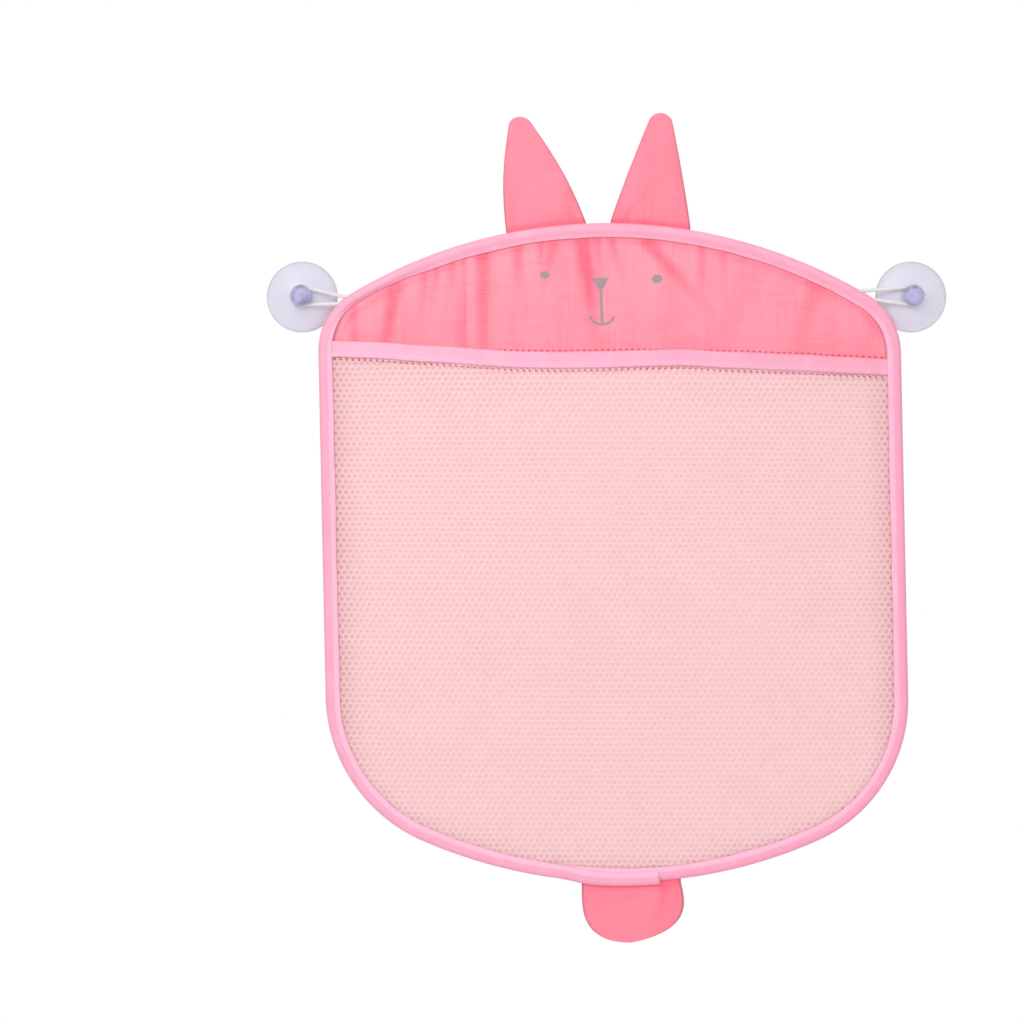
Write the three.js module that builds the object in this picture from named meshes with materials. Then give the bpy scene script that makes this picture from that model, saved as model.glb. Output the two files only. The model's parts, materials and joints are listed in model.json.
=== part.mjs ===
// Hanging bath toy organizer: a flat net pocket bound with tape, with a woven face panel, two ears and a
// tail, held to a wall by two suction cups that hook into cord loops at its shoulders.
// Millimetres. Origin midway between the cups on the wall plane, +X right as seen from the room,
// +Y into the wall, +Z up.
import * as THREE from 'three';

// Bag outline: tangent arcs, symmetrical before it hangs askew
const bagWidth = 327;
const crownZ = 41;
const bottomZ = -329;
const crownRadius = 283;
const shoulderRadius = 38;
const cornerRadius = 88;
const bottomRadius = 275;
const lean = 0.021;

// Fabrics and tapes
const wallGap = 4.9;
const clearance = 0.3;
const tapeThickness = 0.8;
const tapeWidth = 8;
const bandThickness = 0.4;
const bandHeight = 9.2;
const netThickness = 0.5;
const wovenThickness = 0.5;
const plyThickness = 0.6;
const pressedThickness = 0.25;

// Pocket mouth and the panels behind it
const mouthZ = -30.2;
const mouthTilt = THREE.MathUtils.degToRad(1.9);
const mouthGape = 22;
const bandEndInset = 3;
const panelLowerZ = -33;
const panelLap = 9;
const flatMargin = 4;

// Tape lap over the tail
const lapCentreX = 3;
const lapLength = 38;
const lapStep = 0.4;

// Ears: place of each base across the bag, lean from upright towards +X, and outward bow of the edges
const earBase = 45;
const earHeight = 62;
const earTipRadius = 7;
const earPuff = 2;
const ears = [
  { side: 'left', alongX: -34.5, leanDeg: -14.3, bow: 2.2 },
  { side: 'right', alongX: 24.5, leanDeg: 5.7, bow: 0.4 },
];

// Tail
const tailWidth = 58;
const tailLength = 32;
const tailRadius = 24;
const tailPuff = 1.6;
const tailX = 7;
const tailLeanDeg = -7;
const baseFade = 12;

// Suction cups and cord loops
const cupOutreach = 8;
const cupDiameter = 40;
const cupLip = 1.8;
const cupEdge = 0.6;
const dishDepth = 5;
const discHeight = 6.8;
const bossRadius = 4.8;
const neckRadius = 3.6;
const neckBase = 8.2;
const neckLength = 3.5;
const headRadius = 6;
const headHeight = 4.4;
const cordDiameter = 2.2;

// Loops: place of each root on the shoulder arc, up from level, and the distance between its two roots
const loops = [
  { name: 'left', side: -1, rootDeg: 48, rootSpread: 6.5 },
  { name: 'right', side: 1, rootDeg: 54, rootSpread: 9.5 },
];

// Facets
const chordSag = 0.1;
const sideSteps = 6;
const panelColumns = 44;
const faceRows = 9;
const pocketRows = 14;
const pocketCrowding = 1.5;
const plyColumns = 8;
const cordSides = 8;
const cupSegments = 36;

const colours = {
  tape: 0xfbb2c8,
  woven: 0xfe99ac,
  net: 0xf9ced0,
  cord: 0xf2f2f4,
  cup: 0xdcdae6,
};

// Layers of the bag from the wall outwards, as places along Y
const layer = {};
layer.backLegOuter = -wallGap;
layer.backLegInner = layer.backLegOuter - tapeThickness;
layer.backNet = layer.backLegInner - clearance - netThickness / 2;
layer.face = layer.backNet - netThickness / 2 - clearance - wovenThickness / 2;
layer.bandBack = layer.face - wovenThickness / 2 - clearance;
layer.pocket = layer.bandBack - bandThickness - clearance - netThickness / 2;
layer.bandFront = layer.pocket - netThickness / 2 - clearance - bandThickness;
layer.frontLegInner = layer.bandFront - clearance;
layer.frontLegOuter = layer.frontLegInner - tapeThickness;
layer.middle = (layer.backLegOuter + layer.frontLegOuter) / 2;

const halfWidth = bagWidth / 2;
const cupX = halfWidth + cupOutreach;
const panelInset = tapeThickness + clearance;
const flatInset = tapeWidth + flatMargin;

// Centres of the outline's arcs on the right half
const crownCentreZ = crownZ - crownRadius;
const shoulderX = halfWidth - shoulderRadius;
const shoulderZ = crownCentreZ + Math.sqrt((crownRadius - shoulderRadius) ** 2 - shoulderX ** 2);
const bottomCentreZ = bottomZ + bottomRadius;
const cornerX = halfWidth - cornerRadius;
const cornerZ = bottomCentreZ - Math.sqrt((bottomRadius - cornerRadius) ** 2 - cornerX ** 2);

// The bag hangs a little askew: its lower end stands to the right
function askew(x, z) {
  return x + lean * (crownZ - z);
}

// Upper edge of the outline at x, moved inwards by an inset
function upperZ(x, inset) {
  const across = Math.abs(x);
  const crown = crownRadius - inset;
  const shoulder = shoulderRadius - inset;
  const joinX = (shoulderX * crown) / (crownRadius - shoulderRadius);
  if (across <= joinX) return crownCentreZ + Math.sqrt(crown ** 2 - across ** 2);
  return shoulderZ + Math.sqrt(Math.max(0, shoulder ** 2 - (across - shoulderX) ** 2));
}

// Lower edge of the outline at x, moved inwards by an inset
function lowerZ(x, inset) {
  const across = Math.abs(x);
  const bottom = bottomRadius - inset;
  const corner = cornerRadius - inset;
  const joinX = (cornerX * bottom) / (bottomRadius - cornerRadius);
  if (across <= joinX) return bottomCentreZ - Math.sqrt(bottom ** 2 - across ** 2);
  return cornerZ - Math.sqrt(Math.max(0, corner ** 2 - (across - cornerX) ** 2));
}

// Upper edge of the pocket's mouth band
function mouthTop(x) {
  return mouthZ - x * Math.tan(mouthTilt);
}

// How far the pocket net stands out from its sewn edge
function pocketBulge(x, z) {
  const reach = halfWidth - flatInset;
  if (Math.abs(x) >= reach) return 0;
  const floor = lowerZ(x, flatInset);
  const rise = THREE.MathUtils.clamp((z - floor) / (mouthTop(x) - floor), 0, 1);
  return mouthGape * (1 - (x / reach) ** 2) * Math.sin((rise * Math.PI) / 2);
}

// Gathers below the crown tape and one pressed crease: place across, half width, height, drift with depth
const gathers = [
  { x: -143, width: 5, height: 0.9, drift: 0.3 },
  { x: -124.6, width: 6, height: 1.5, drift: 0.35 },
  { x: -65.7, width: 7, height: 0.9, drift: 0.1 },
  { x: -48.8, width: 6, height: 0.9, drift: 0 },
  { x: -32, width: 6, height: 0.9, drift: 0 },
  { x: -13, width: 6, height: 1.6, drift: -0.18 },
  { x: 26, width: 6, height: 1, drift: -0.7 },
  { x: 49.4, width: 6, height: 0.7, drift: 0 },
  { x: 116.7, width: 7, height: 0.8, drift: -0.3 },
];
const crease = { x: -79, width: 3, height: 0.5 };
const gatherFade = 40;
const gatherRise = 6;

// How far the face panel stands out from its flat layer
function faceRelief(x, z) {
  if (Math.abs(x) >= halfWidth - flatInset) return 0;
  const below = upperZ(x, flatInset) - z;
  const above = z - panelLowerZ;
  if (below <= 0 || above <= 0) return 0;
  const rise = Math.min(1, below / gatherRise) * Math.min(1, above / gatherRise);
  let height = crease.height * Math.exp(-(((x - crease.x) / crease.width) ** 2));
  for (const fold of gathers) {
    const across = (x - fold.x - fold.drift * below) / fold.width;
    height += fold.height * Math.exp(-(across ** 2)) * Math.exp(-below / gatherFade);
  }
  return rise * height;
}

// A closed solid from triangles of points, turned so that its faces point outwards
function solid(triangles) {
  let volume = 0;
  for (const [a, b, c] of triangles) volume += a.dot(b.clone().cross(c));
  const positions = [];
  for (const [a, b, c] of triangles) {
    const ordered = volume < 0 ? [a, c, b] : [a, b, c];
    for (const point of ordered) positions.push(point.x, point.y, point.z);
  }
  const geometry = new THREE.BufferGeometry();
  geometry.setAttribute('position', new THREE.Float32BufferAttribute(positions, 3));
  geometry.computeVertexNormals();
  return geometry;
}

// Two triangles over four points in order round a quad
function quad(a, b, c, d) {
  return [[a, b, c], [a, c, d]];
}

// A sheet of cloth: rows of points on its front and on its back, closed round its four edges
function sheet(front, back) {
  const rows = front.length - 1;
  const columns = front[0].length - 1;
  const triangles = [];
  for (let i = 0; i < rows; i += 1) {
    for (let j = 0; j < columns; j += 1) {
      triangles.push(...quad(front[i][j], front[i][j + 1], front[i + 1][j + 1], front[i + 1][j]));
      triangles.push(...quad(back[i][j], back[i + 1][j], back[i + 1][j + 1], back[i][j + 1]));
    }
    triangles.push(...quad(front[i][0], front[i + 1][0], back[i + 1][0], back[i][0]));
    triangles.push(...quad(front[i + 1][columns], front[i][columns], back[i][columns], back[i + 1][columns]));
  }
  for (let j = 0; j < columns; j += 1) {
    triangles.push(...quad(front[0][j + 1], front[0][j], back[0][j], back[0][j + 1]));
    triangles.push(...quad(front[rows][j], front[rows][j + 1], back[rows][j + 1], back[rows][j]));
  }
  return solid(triangles);
}

// A section swept through rings of points; an open sweep is capped at both ends
function sweep(rings, closed) {
  const count = rings[0].length;
  const triangles = [];
  const spans = closed ? rings.length : rings.length - 1;
  for (let i = 0; i < spans; i += 1) {
    const ring = rings[i];
    const next = rings[(i + 1) % rings.length];
    for (let j = 0; j < count; j += 1) {
      const k = (j + 1) % count;
      triangles.push(...quad(ring[j], ring[k], next[k], next[j]));
    }
  }
  return triangles;
}

// Flat ends for an open sweep whose section is a polygon of 2-D points
function caps(rings, section) {
  const faces = THREE.ShapeUtils.triangulateShape(section, []);
  const first = rings[0];
  const last = rings[rings.length - 1];
  const triangles = [];
  for (const [a, b, c] of faces) {
    triangles.push([first[c], first[b], first[a]]);
    triangles.push([last[a], last[b], last[c]]);
  }
  return triangles;
}

// Places across the bag, closer together towards its sides
function acrossBag(reach) {
  const places = [];
  for (let i = 0; i <= panelColumns; i += 1) {
    places.push(-reach * Math.cos((Math.PI * i) / panelColumns));
  }
  return places;
}

// A panel of the bag between two edges, with a standing-out height over its layer.
// A crowding over 1 brings the rows closer together towards the lower edge.
function panel({ top, bottom, rows, crowding = 1, y, thickness, relief }) {
  const front = [];
  const back = [];
  for (const x of acrossBag(halfWidth - panelInset)) {
    const high = top(x);
    const low = bottom(x);
    const frontRow = [];
    const backRow = [];
    for (let i = 0; i <= rows; i += 1) {
      const z = THREE.MathUtils.lerp(low, high, (i / rows) ** crowding);
      const middle = y - relief(x, z);
      frontRow.push(new THREE.Vector3(askew(x, z), middle - thickness / 2, z));
      backRow.push(new THREE.Vector3(askew(x, z), middle + thickness / 2, z));
    }
    front.push(frontRow);
    back.push(backRow);
  }
  return sheet(front, back);
}

function flat() {
  return 0;
}

function facePanel() {
  return panel({
    top: (x) => upperZ(x, panelInset),
    bottom: () => panelLowerZ,
    rows: faceRows,
    y: layer.face,
    thickness: wovenThickness,
    relief: faceRelief,
  });
}

function backMesh() {
  return panel({
    top: (x) => Math.min(panelLowerZ + panelLap, upperZ(x, panelInset)),
    bottom: (x) => lowerZ(x, panelInset),
    rows: 1,
    y: layer.backNet,
    thickness: netThickness,
    relief: flat,
  });
}

function pocketMesh() {
  return panel({
    top: (x) => Math.min(mouthTop(x) - bandThickness - clearance, upperZ(x, panelInset)),
    bottom: (x) => lowerZ(x, panelInset),
    rows: pocketRows,
    crowding: pocketCrowding,
    y: layer.pocket,
    thickness: netThickness,
    relief: pocketBulge,
  });
}

// Folded tape over the pocket's upper edge: an inverted U that follows the gaping mouth
function mouthBinding() {
  const backOuter = layer.bandBack - layer.pocket;
  const frontOuter = layer.bandFront - layer.pocket;
  const fold = bandThickness;
  const section = [
    new THREE.Vector2(backOuter, -bandHeight),
    new THREE.Vector2(backOuter, -fold),
    new THREE.Vector2(backOuter - fold, 0),
    new THREE.Vector2(frontOuter + fold, 0),
    new THREE.Vector2(frontOuter, -fold),
    new THREE.Vector2(frontOuter, -bandHeight),
    new THREE.Vector2(frontOuter + fold, -bandHeight),
    new THREE.Vector2(frontOuter + fold, -fold),
    new THREE.Vector2(backOuter - fold, -fold),
    new THREE.Vector2(backOuter - fold, -bandHeight),
  ];
  const rings = acrossBag(halfWidth - bandEndInset).map((x) => section.map((point) => {
    const z = mouthTop(x) + point.y;
    return new THREE.Vector3(askew(x, z), layer.pocket - pocketBulge(x, z) + point.x, z);
  }));
  return solid([...sweep(rings, false), ...caps(rings, section)]);
}

// Turns from one angle to another, in steps whose chords stay close to an arc of this radius
function arcTurns(radius, from, to) {
  const steps = Math.ceil(Math.abs(to - from) / (2 * Math.acos(1 - chordSag / radius)));
  return Array.from({ length: steps }, (_, i) => THREE.MathUtils.lerp(from, to, i / steps));
}

// A point of an arc with its outward direction; turns count clockwise from +Z
function station(x, z, radius, turn) {
  const out = new THREE.Vector2(Math.sin(turn), Math.cos(turn));
  return { point: new THREE.Vector2(x, z).addScaledVector(out, radius), out, lapped: false };
}

// The bottom arc, with a step up and a step down where the tape's end lies over its beginning
function bottomStations(from, to) {
  const lapFrom = Math.PI - Math.asin((lapCentreX + lapLength / 2) / bottomRadius);
  const lapTo = Math.PI - Math.asin((lapCentreX - lapLength / 2) / bottomRadius);
  const step = lapStep / bottomRadius;
  const clearOfLap = (turn) => Math.abs(turn - lapFrom) > 2 * step && Math.abs(turn - lapTo) > 2 * step;
  const turns = arcTurns(bottomRadius, from, to).filter(clearOfLap);
  turns.push(lapFrom - step, lapFrom, lapTo, lapTo + step);
  turns.sort((a, b) => a - b);
  return turns.map((turn) => {
    return { ...station(0, bottomCentreZ, bottomRadius, turn), lapped: turn >= lapFrom && turn <= lapTo };
  });
}

// Points of the outline with their outward directions, clockwise from the crown as seen from the room
function outlineStations() {
  const joinTop = Math.asin(shoulderX / (crownRadius - shoulderRadius));
  const joinLow = Math.asin(cornerX / (bottomRadius - cornerRadius));
  const quarter = Math.PI / 2;
  const arc = (x, z, radius, from, to) => {
    return arcTurns(radius, from, to).map((turn) => station(x, z, radius, turn));
  };
  const straight = (x, from, to) => {
    const out = new THREE.Vector2(Math.sign(x), 0);
    return Array.from({ length: sideSteps }, (_, i) => {
      const z = THREE.MathUtils.lerp(from, to, i / sideSteps);
      return { point: new THREE.Vector2(x, z), out, lapped: false };
    });
  };
  return [
    ...arc(0, crownCentreZ, crownRadius, 0, joinTop),
    ...arc(shoulderX, shoulderZ, shoulderRadius, joinTop, quarter),
    ...straight(halfWidth, shoulderZ, cornerZ),
    ...arc(cornerX, cornerZ, cornerRadius, quarter, 2 * quarter - joinLow),
    ...bottomStations(2 * quarter - joinLow, 2 * quarter + joinLow),
    ...arc(-cornerX, cornerZ, cornerRadius, 2 * quarter + joinLow, 3 * quarter),
    ...straight(-halfWidth, cornerZ, shoulderZ),
    ...arc(-shoulderX, shoulderZ, shoulderRadius, 3 * quarter, 4 * quarter - joinTop),
    ...arc(0, crownCentreZ, crownRadius, 4 * quarter - joinTop, 4 * quarter),
  ];
}

// Folded tape round the whole bag: a U open towards the middle, doubled where its ends lap
function perimeterBinding() {
  const chamfer = tapeThickness;
  const rings = outlineStations().map(({ point, out, lapped }) => {
    const extra = lapped ? tapeThickness : 0;
    const back = layer.backLegOuter;
    const front = layer.frontLegOuter - extra;
    const section = [
      [-extra, back - chamfer],
      [chamfer, back],
      [tapeWidth, back],
      [tapeWidth, layer.backLegInner],
      [tapeThickness, layer.backLegInner],
      [tapeThickness, layer.frontLegInner],
      [tapeWidth, layer.frontLegInner],
      [tapeWidth, front],
      [chamfer - extra, front],
      [-extra, front + chamfer],
    ];
    return section.map(([inwards, y]) => {
      const x = point.x - out.x * inwards;
      const z = point.y - out.y * inwards;
      return new THREE.Vector3(askew(x, z), y, z);
    });
  });
  return solid(sweep(rings, true));
}

// One ply of an ear or tail in its own frame: base on X, length along Z, domed towards facing.
// The base seam follows the bag's curved edge, and that curve fades within the first stretch of the ply.
function ply({ length, halfAt, stops, puff, edgeRadius, slant, facing }) {
  const seam = clearance / 2;
  const outer = [];
  const inner = [];
  for (const along of [-plyThickness, ...stops]) {
    const half = halfAt(Math.max(0, along));
    const swell = puff * Math.sin((Math.PI * THREE.MathUtils.clamp(along, 0, length)) / length);
    const thickness = along < 0 ? pressedThickness : plyThickness;
    const outerRow = [];
    const innerRow = [];
    for (let j = 0; j <= plyColumns; j += 1) {
      const share = -1 + (2 * j) / plyColumns;
      const dome = seam + swell * (1 - share ** 2);
      const x = half * share + along * Math.tan(slant);
      const z = along - (Math.max(0, 1 - along / baseFade) * (half * share) ** 2) / (2 * edgeRadius);
      innerRow.push(new THREE.Vector3(x, facing * dome, z));
      outerRow.push(new THREE.Vector3(x, facing * (dome + thickness), z));
    }
    outer.push(outerRow);
    inner.push(innerRow);
  }
  return sheet(outer, inner);
}

// Half width of an ear: slightly bowed edges that run into a round tip
function earShape(bow) {
  const tipCentre = earHeight - earTipRadius;
  const half = earBase / 2;
  const slant = Math.acos(earTipRadius / Math.hypot(half, tipCentre)) - Math.atan2(tipCentre, half);
  const joinAt = tipCentre + earTipRadius * Math.sin(slant);
  const halfAt = (along) => {
    if (along <= joinAt) return half - along * Math.tan(slant) + bow * Math.sin((Math.PI * along) / joinAt);
    return Math.sqrt(Math.max(0, earTipRadius ** 2 - (along - tipCentre) ** 2));
  };
  const straight = [0, 0.12, 0.28, 0.46, 0.64, 0.82, 1].map((share) => share * joinAt);
  const round = [0.4, 0.7, 0.88, 0.98].map((share) => {
    return tipCentre + earTipRadius * Math.sin(THREE.MathUtils.lerp(slant, Math.PI / 2, share));
  });
  const stops = [...straight, ...round];
  return { length: earHeight, halfAt, stops, puff: earPuff, edgeRadius: crownRadius };
}

// Half width of the tail: straight sides with round lower corners
function tailShape() {
  const half = tailWidth / 2;
  const straight = tailLength - tailRadius;
  const halfAt = (along) => {
    const past = Math.max(0, along - straight);
    return half - tailRadius + Math.sqrt(Math.max(0, tailRadius ** 2 - past ** 2));
  };
  const stops = [0, straight / 2, straight];
  for (const turn of [20, 40, 58, 74, 90]) {
    stops.push(straight + tailRadius * Math.sin(THREE.MathUtils.degToRad(turn)));
  }
  return { length: tailLength, halfAt, stops, puff: tailPuff, edgeRadius: bottomRadius };
}

// Radius that the base of an ear or tail needs to turn clear of the tape
const seamRadius = clearance / 2 + plyThickness;

// Where an ear is sewn on: a hinge line that runs along the crown just above the tape
function earSeat(x) {
  const z = upperZ(x, -seamRadius - clearance);
  const seat = new THREE.Vector3(askew(x, z), layer.middle, z);
  return { seat, turn: Math.asin(x / crownRadius) };
}

// Where the tail is sewn on: a hinge line just below the lapped tape
function tailSeat() {
  const z = lowerZ(tailX, -seamRadius - clearance - tapeThickness);
  const seat = new THREE.Vector3(askew(tailX, z), layer.middle, z);
  return { seat, turn: Math.PI - Math.asin(tailX / bottomRadius) };
}

// Cup turned about its own axis: rim lip on the wall, dish, dome, boss, neck and mushroom head
function suctionCup() {
  const rim = cupDiameter / 2;
  const dishRim = rim - cupLip;
  const profile = [];
  const dishSteps = 5;
  for (let i = 0; i <= dishSteps; i += 1) {
    const share = i / dishSteps;
    profile.push(new THREE.Vector2(dishRim * share, -dishDepth * (1 - share ** 2)));
  }
  profile.push(new THREE.Vector2(rim, 0));
  profile.push(new THREE.Vector2(rim, -cupEdge));
  const domeSteps = 5;
  for (let i = 1; i <= domeSteps; i += 1) {
    const radius = THREE.MathUtils.lerp(rim, bossRadius, i / domeSteps);
    const share = (radius - bossRadius) / (rim - bossRadius);
    profile.push(new THREE.Vector2(radius, -THREE.MathUtils.lerp(discHeight, cupEdge, share ** 1.6)));
  }
  const neckEnd = neckBase + neckLength;
  profile.push(new THREE.Vector2(neckRadius, -neckBase));
  profile.push(new THREE.Vector2(neckRadius, -neckEnd));
  profile.push(new THREE.Vector2(headRadius, -neckEnd - headHeight * 0.1));
  for (const turn of [0, 25, 50, 72]) {
    const angle = THREE.MathUtils.degToRad(turn);
    const rise = headHeight * (0.35 + 0.65 * Math.sin(angle));
    profile.push(new THREE.Vector2(headRadius * Math.cos(angle), -neckEnd - rise));
  }
  profile.push(new THREE.Vector2(0, -neckEnd - headHeight));
  return new THREE.LatheGeometry(profile.reverse(), cupSegments);
}

// The hinge line of a loop: it touches the shoulder arc where the cord is sewn in
function loopSeat({ side, rootDeg }) {
  const reach = shoulderRadius + cordDiameter / 2 + clearance;
  const rise = THREE.MathUtils.degToRad(rootDeg);
  const x = side * (shoulderX + reach * Math.cos(rise));
  const z = shoulderZ + reach * Math.sin(rise);
  const along = new THREE.Vector3(side * Math.sin(rise), 0, -Math.cos(rise));
  return { middle: new THREE.Vector3(askew(x, z), layer.middle, z), along };
}

// One hairpin of cord: from its upper root round the cup's neck and back to its lower root
function cordLoop(loop) {
  const { side, rootSpread } = loop;
  const { middle, along } = loopSeat(loop);
  const upper = middle.clone().addScaledVector(along, -rootSpread / 2);
  const lower = middle.clone().addScaledVector(along, rootSpread / 2);
  const bend = neckRadius + clearance + cordDiameter / 2;
  const neckY = -neckBase - neckLength / 2;
  const path = [upper];
  const bendSteps = 10;
  for (let i = 0; i <= bendSteps; i += 1) {
    const turn = Math.PI / 2 - (Math.PI * i) / bendSteps;
    path.push(new THREE.Vector3(side * (cupX + bend * Math.cos(turn)), neckY, bend * Math.sin(turn)));
  }
  path.push(lower);
  return cord(path);
}

// A round cord through points, with round ends
function cord(path) {
  const radius = cordDiameter / 2;
  const rings = [];
  const addRing = (centre, tangent, size) => {
    const across = new THREE.Vector3().crossVectors(tangent, new THREE.Vector3(0, 1, 0)).normalize();
    const up = new THREE.Vector3().crossVectors(across, tangent).normalize();
    const ring = [];
    for (let j = 0; j < cordSides; j += 1) {
      const turn = (2 * Math.PI * j) / cordSides;
      const point = centre.clone().addScaledVector(across, size * Math.cos(turn));
      ring.push(point.addScaledVector(up, size * Math.sin(turn)));
    }
    rings.push(ring);
  };
  const end = path.length - 1;
  const firstWay = path[1].clone().sub(path[0]).normalize();
  const lastWay = path[end].clone().sub(path[end - 1]).normalize();
  const capTurns = [75, 40].map((turn) => THREE.MathUtils.degToRad(turn));
  for (const turn of capTurns) {
    const centre = path[0].clone().addScaledVector(firstWay, -radius * Math.sin(turn));
    addRing(centre, firstWay, radius * Math.cos(turn));
  }
  addRing(path[0], firstWay, radius);
  for (let i = 1; i < end; i += 1) {
    const before = path[i].clone().sub(path[i - 1]).normalize();
    const after = path[i + 1].clone().sub(path[i]).normalize();
    addRing(path[i], before.add(after).normalize(), radius);
  }
  addRing(path[end], lastWay, radius);
  for (const turn of [...capTurns].reverse()) {
    const centre = path[end].clone().addScaledVector(lastWay, radius * Math.sin(turn));
    addRing(centre, lastWay, radius * Math.cos(turn));
  }
  const section = [];
  for (let j = 0; j < cordSides; j += 1) {
    const turn = (2 * Math.PI * j) / cordSides;
    section.push(new THREE.Vector2(Math.cos(turn), Math.sin(turn)));
  }
  return solid([...sweep(rings, false), ...caps(rings, section)]);
}

function part(name, geometry, colour, roughness) {
  const material = new THREE.MeshStandardMaterial({ color: colour, roughness, metalness: 0 });
  const mesh = new THREE.Mesh(geometry, material);
  mesh.name = name;
  return mesh;
}

// An ear or tail: two plies in a group that stands on its hinge line and leans off it
function softFlap(name, shape, { seat, turn }, leanDeg) {
  const slant = THREE.MathUtils.degToRad(leanDeg) - turn;
  const group = new THREE.Group();
  group.position.copy(seat);
  group.rotation.y = turn;
  for (const [face, facing] of [['front', -1], ['back', 1]]) {
    group.add(part(`${name}_${face}`, ply({ ...shape, slant, facing }), colours.woven, 0.85));
  }
  return group;
}

const organizer = new THREE.Group();
organizer.add(part('face_panel', facePanel(), colours.woven, 0.85));
organizer.add(part('back_mesh', backMesh(), colours.net, 0.9));
organizer.add(part('pocket_mesh', pocketMesh(), colours.net, 0.9));
organizer.add(part('mouth_binding', mouthBinding(), colours.tape, 0.8));
organizer.add(part('perimeter_binding', perimeterBinding(), colours.tape, 0.8));
for (const { side, alongX, leanDeg, bow } of ears) {
  organizer.add(softFlap(`${side}_ear`, earShape(bow), earSeat(alongX), leanDeg));
}
organizer.add(softFlap('tail', tailShape(), tailSeat(), 180 - tailLeanDeg));
for (const loop of loops) {
  organizer.add(part(`${loop.name}_loop`, cordLoop(loop), colours.cord, 0.7));
  const cup = part(`${loop.name}_cup`, suctionCup(), colours.cup, 0.2);
  cup.position.x = loop.side * cupX;
  organizer.add(cup);
}

export default organizer;
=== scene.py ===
"""Finished look of a hanging bath toy organizer: nets, woven face, taped edges, cords and clear cups."""

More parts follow.
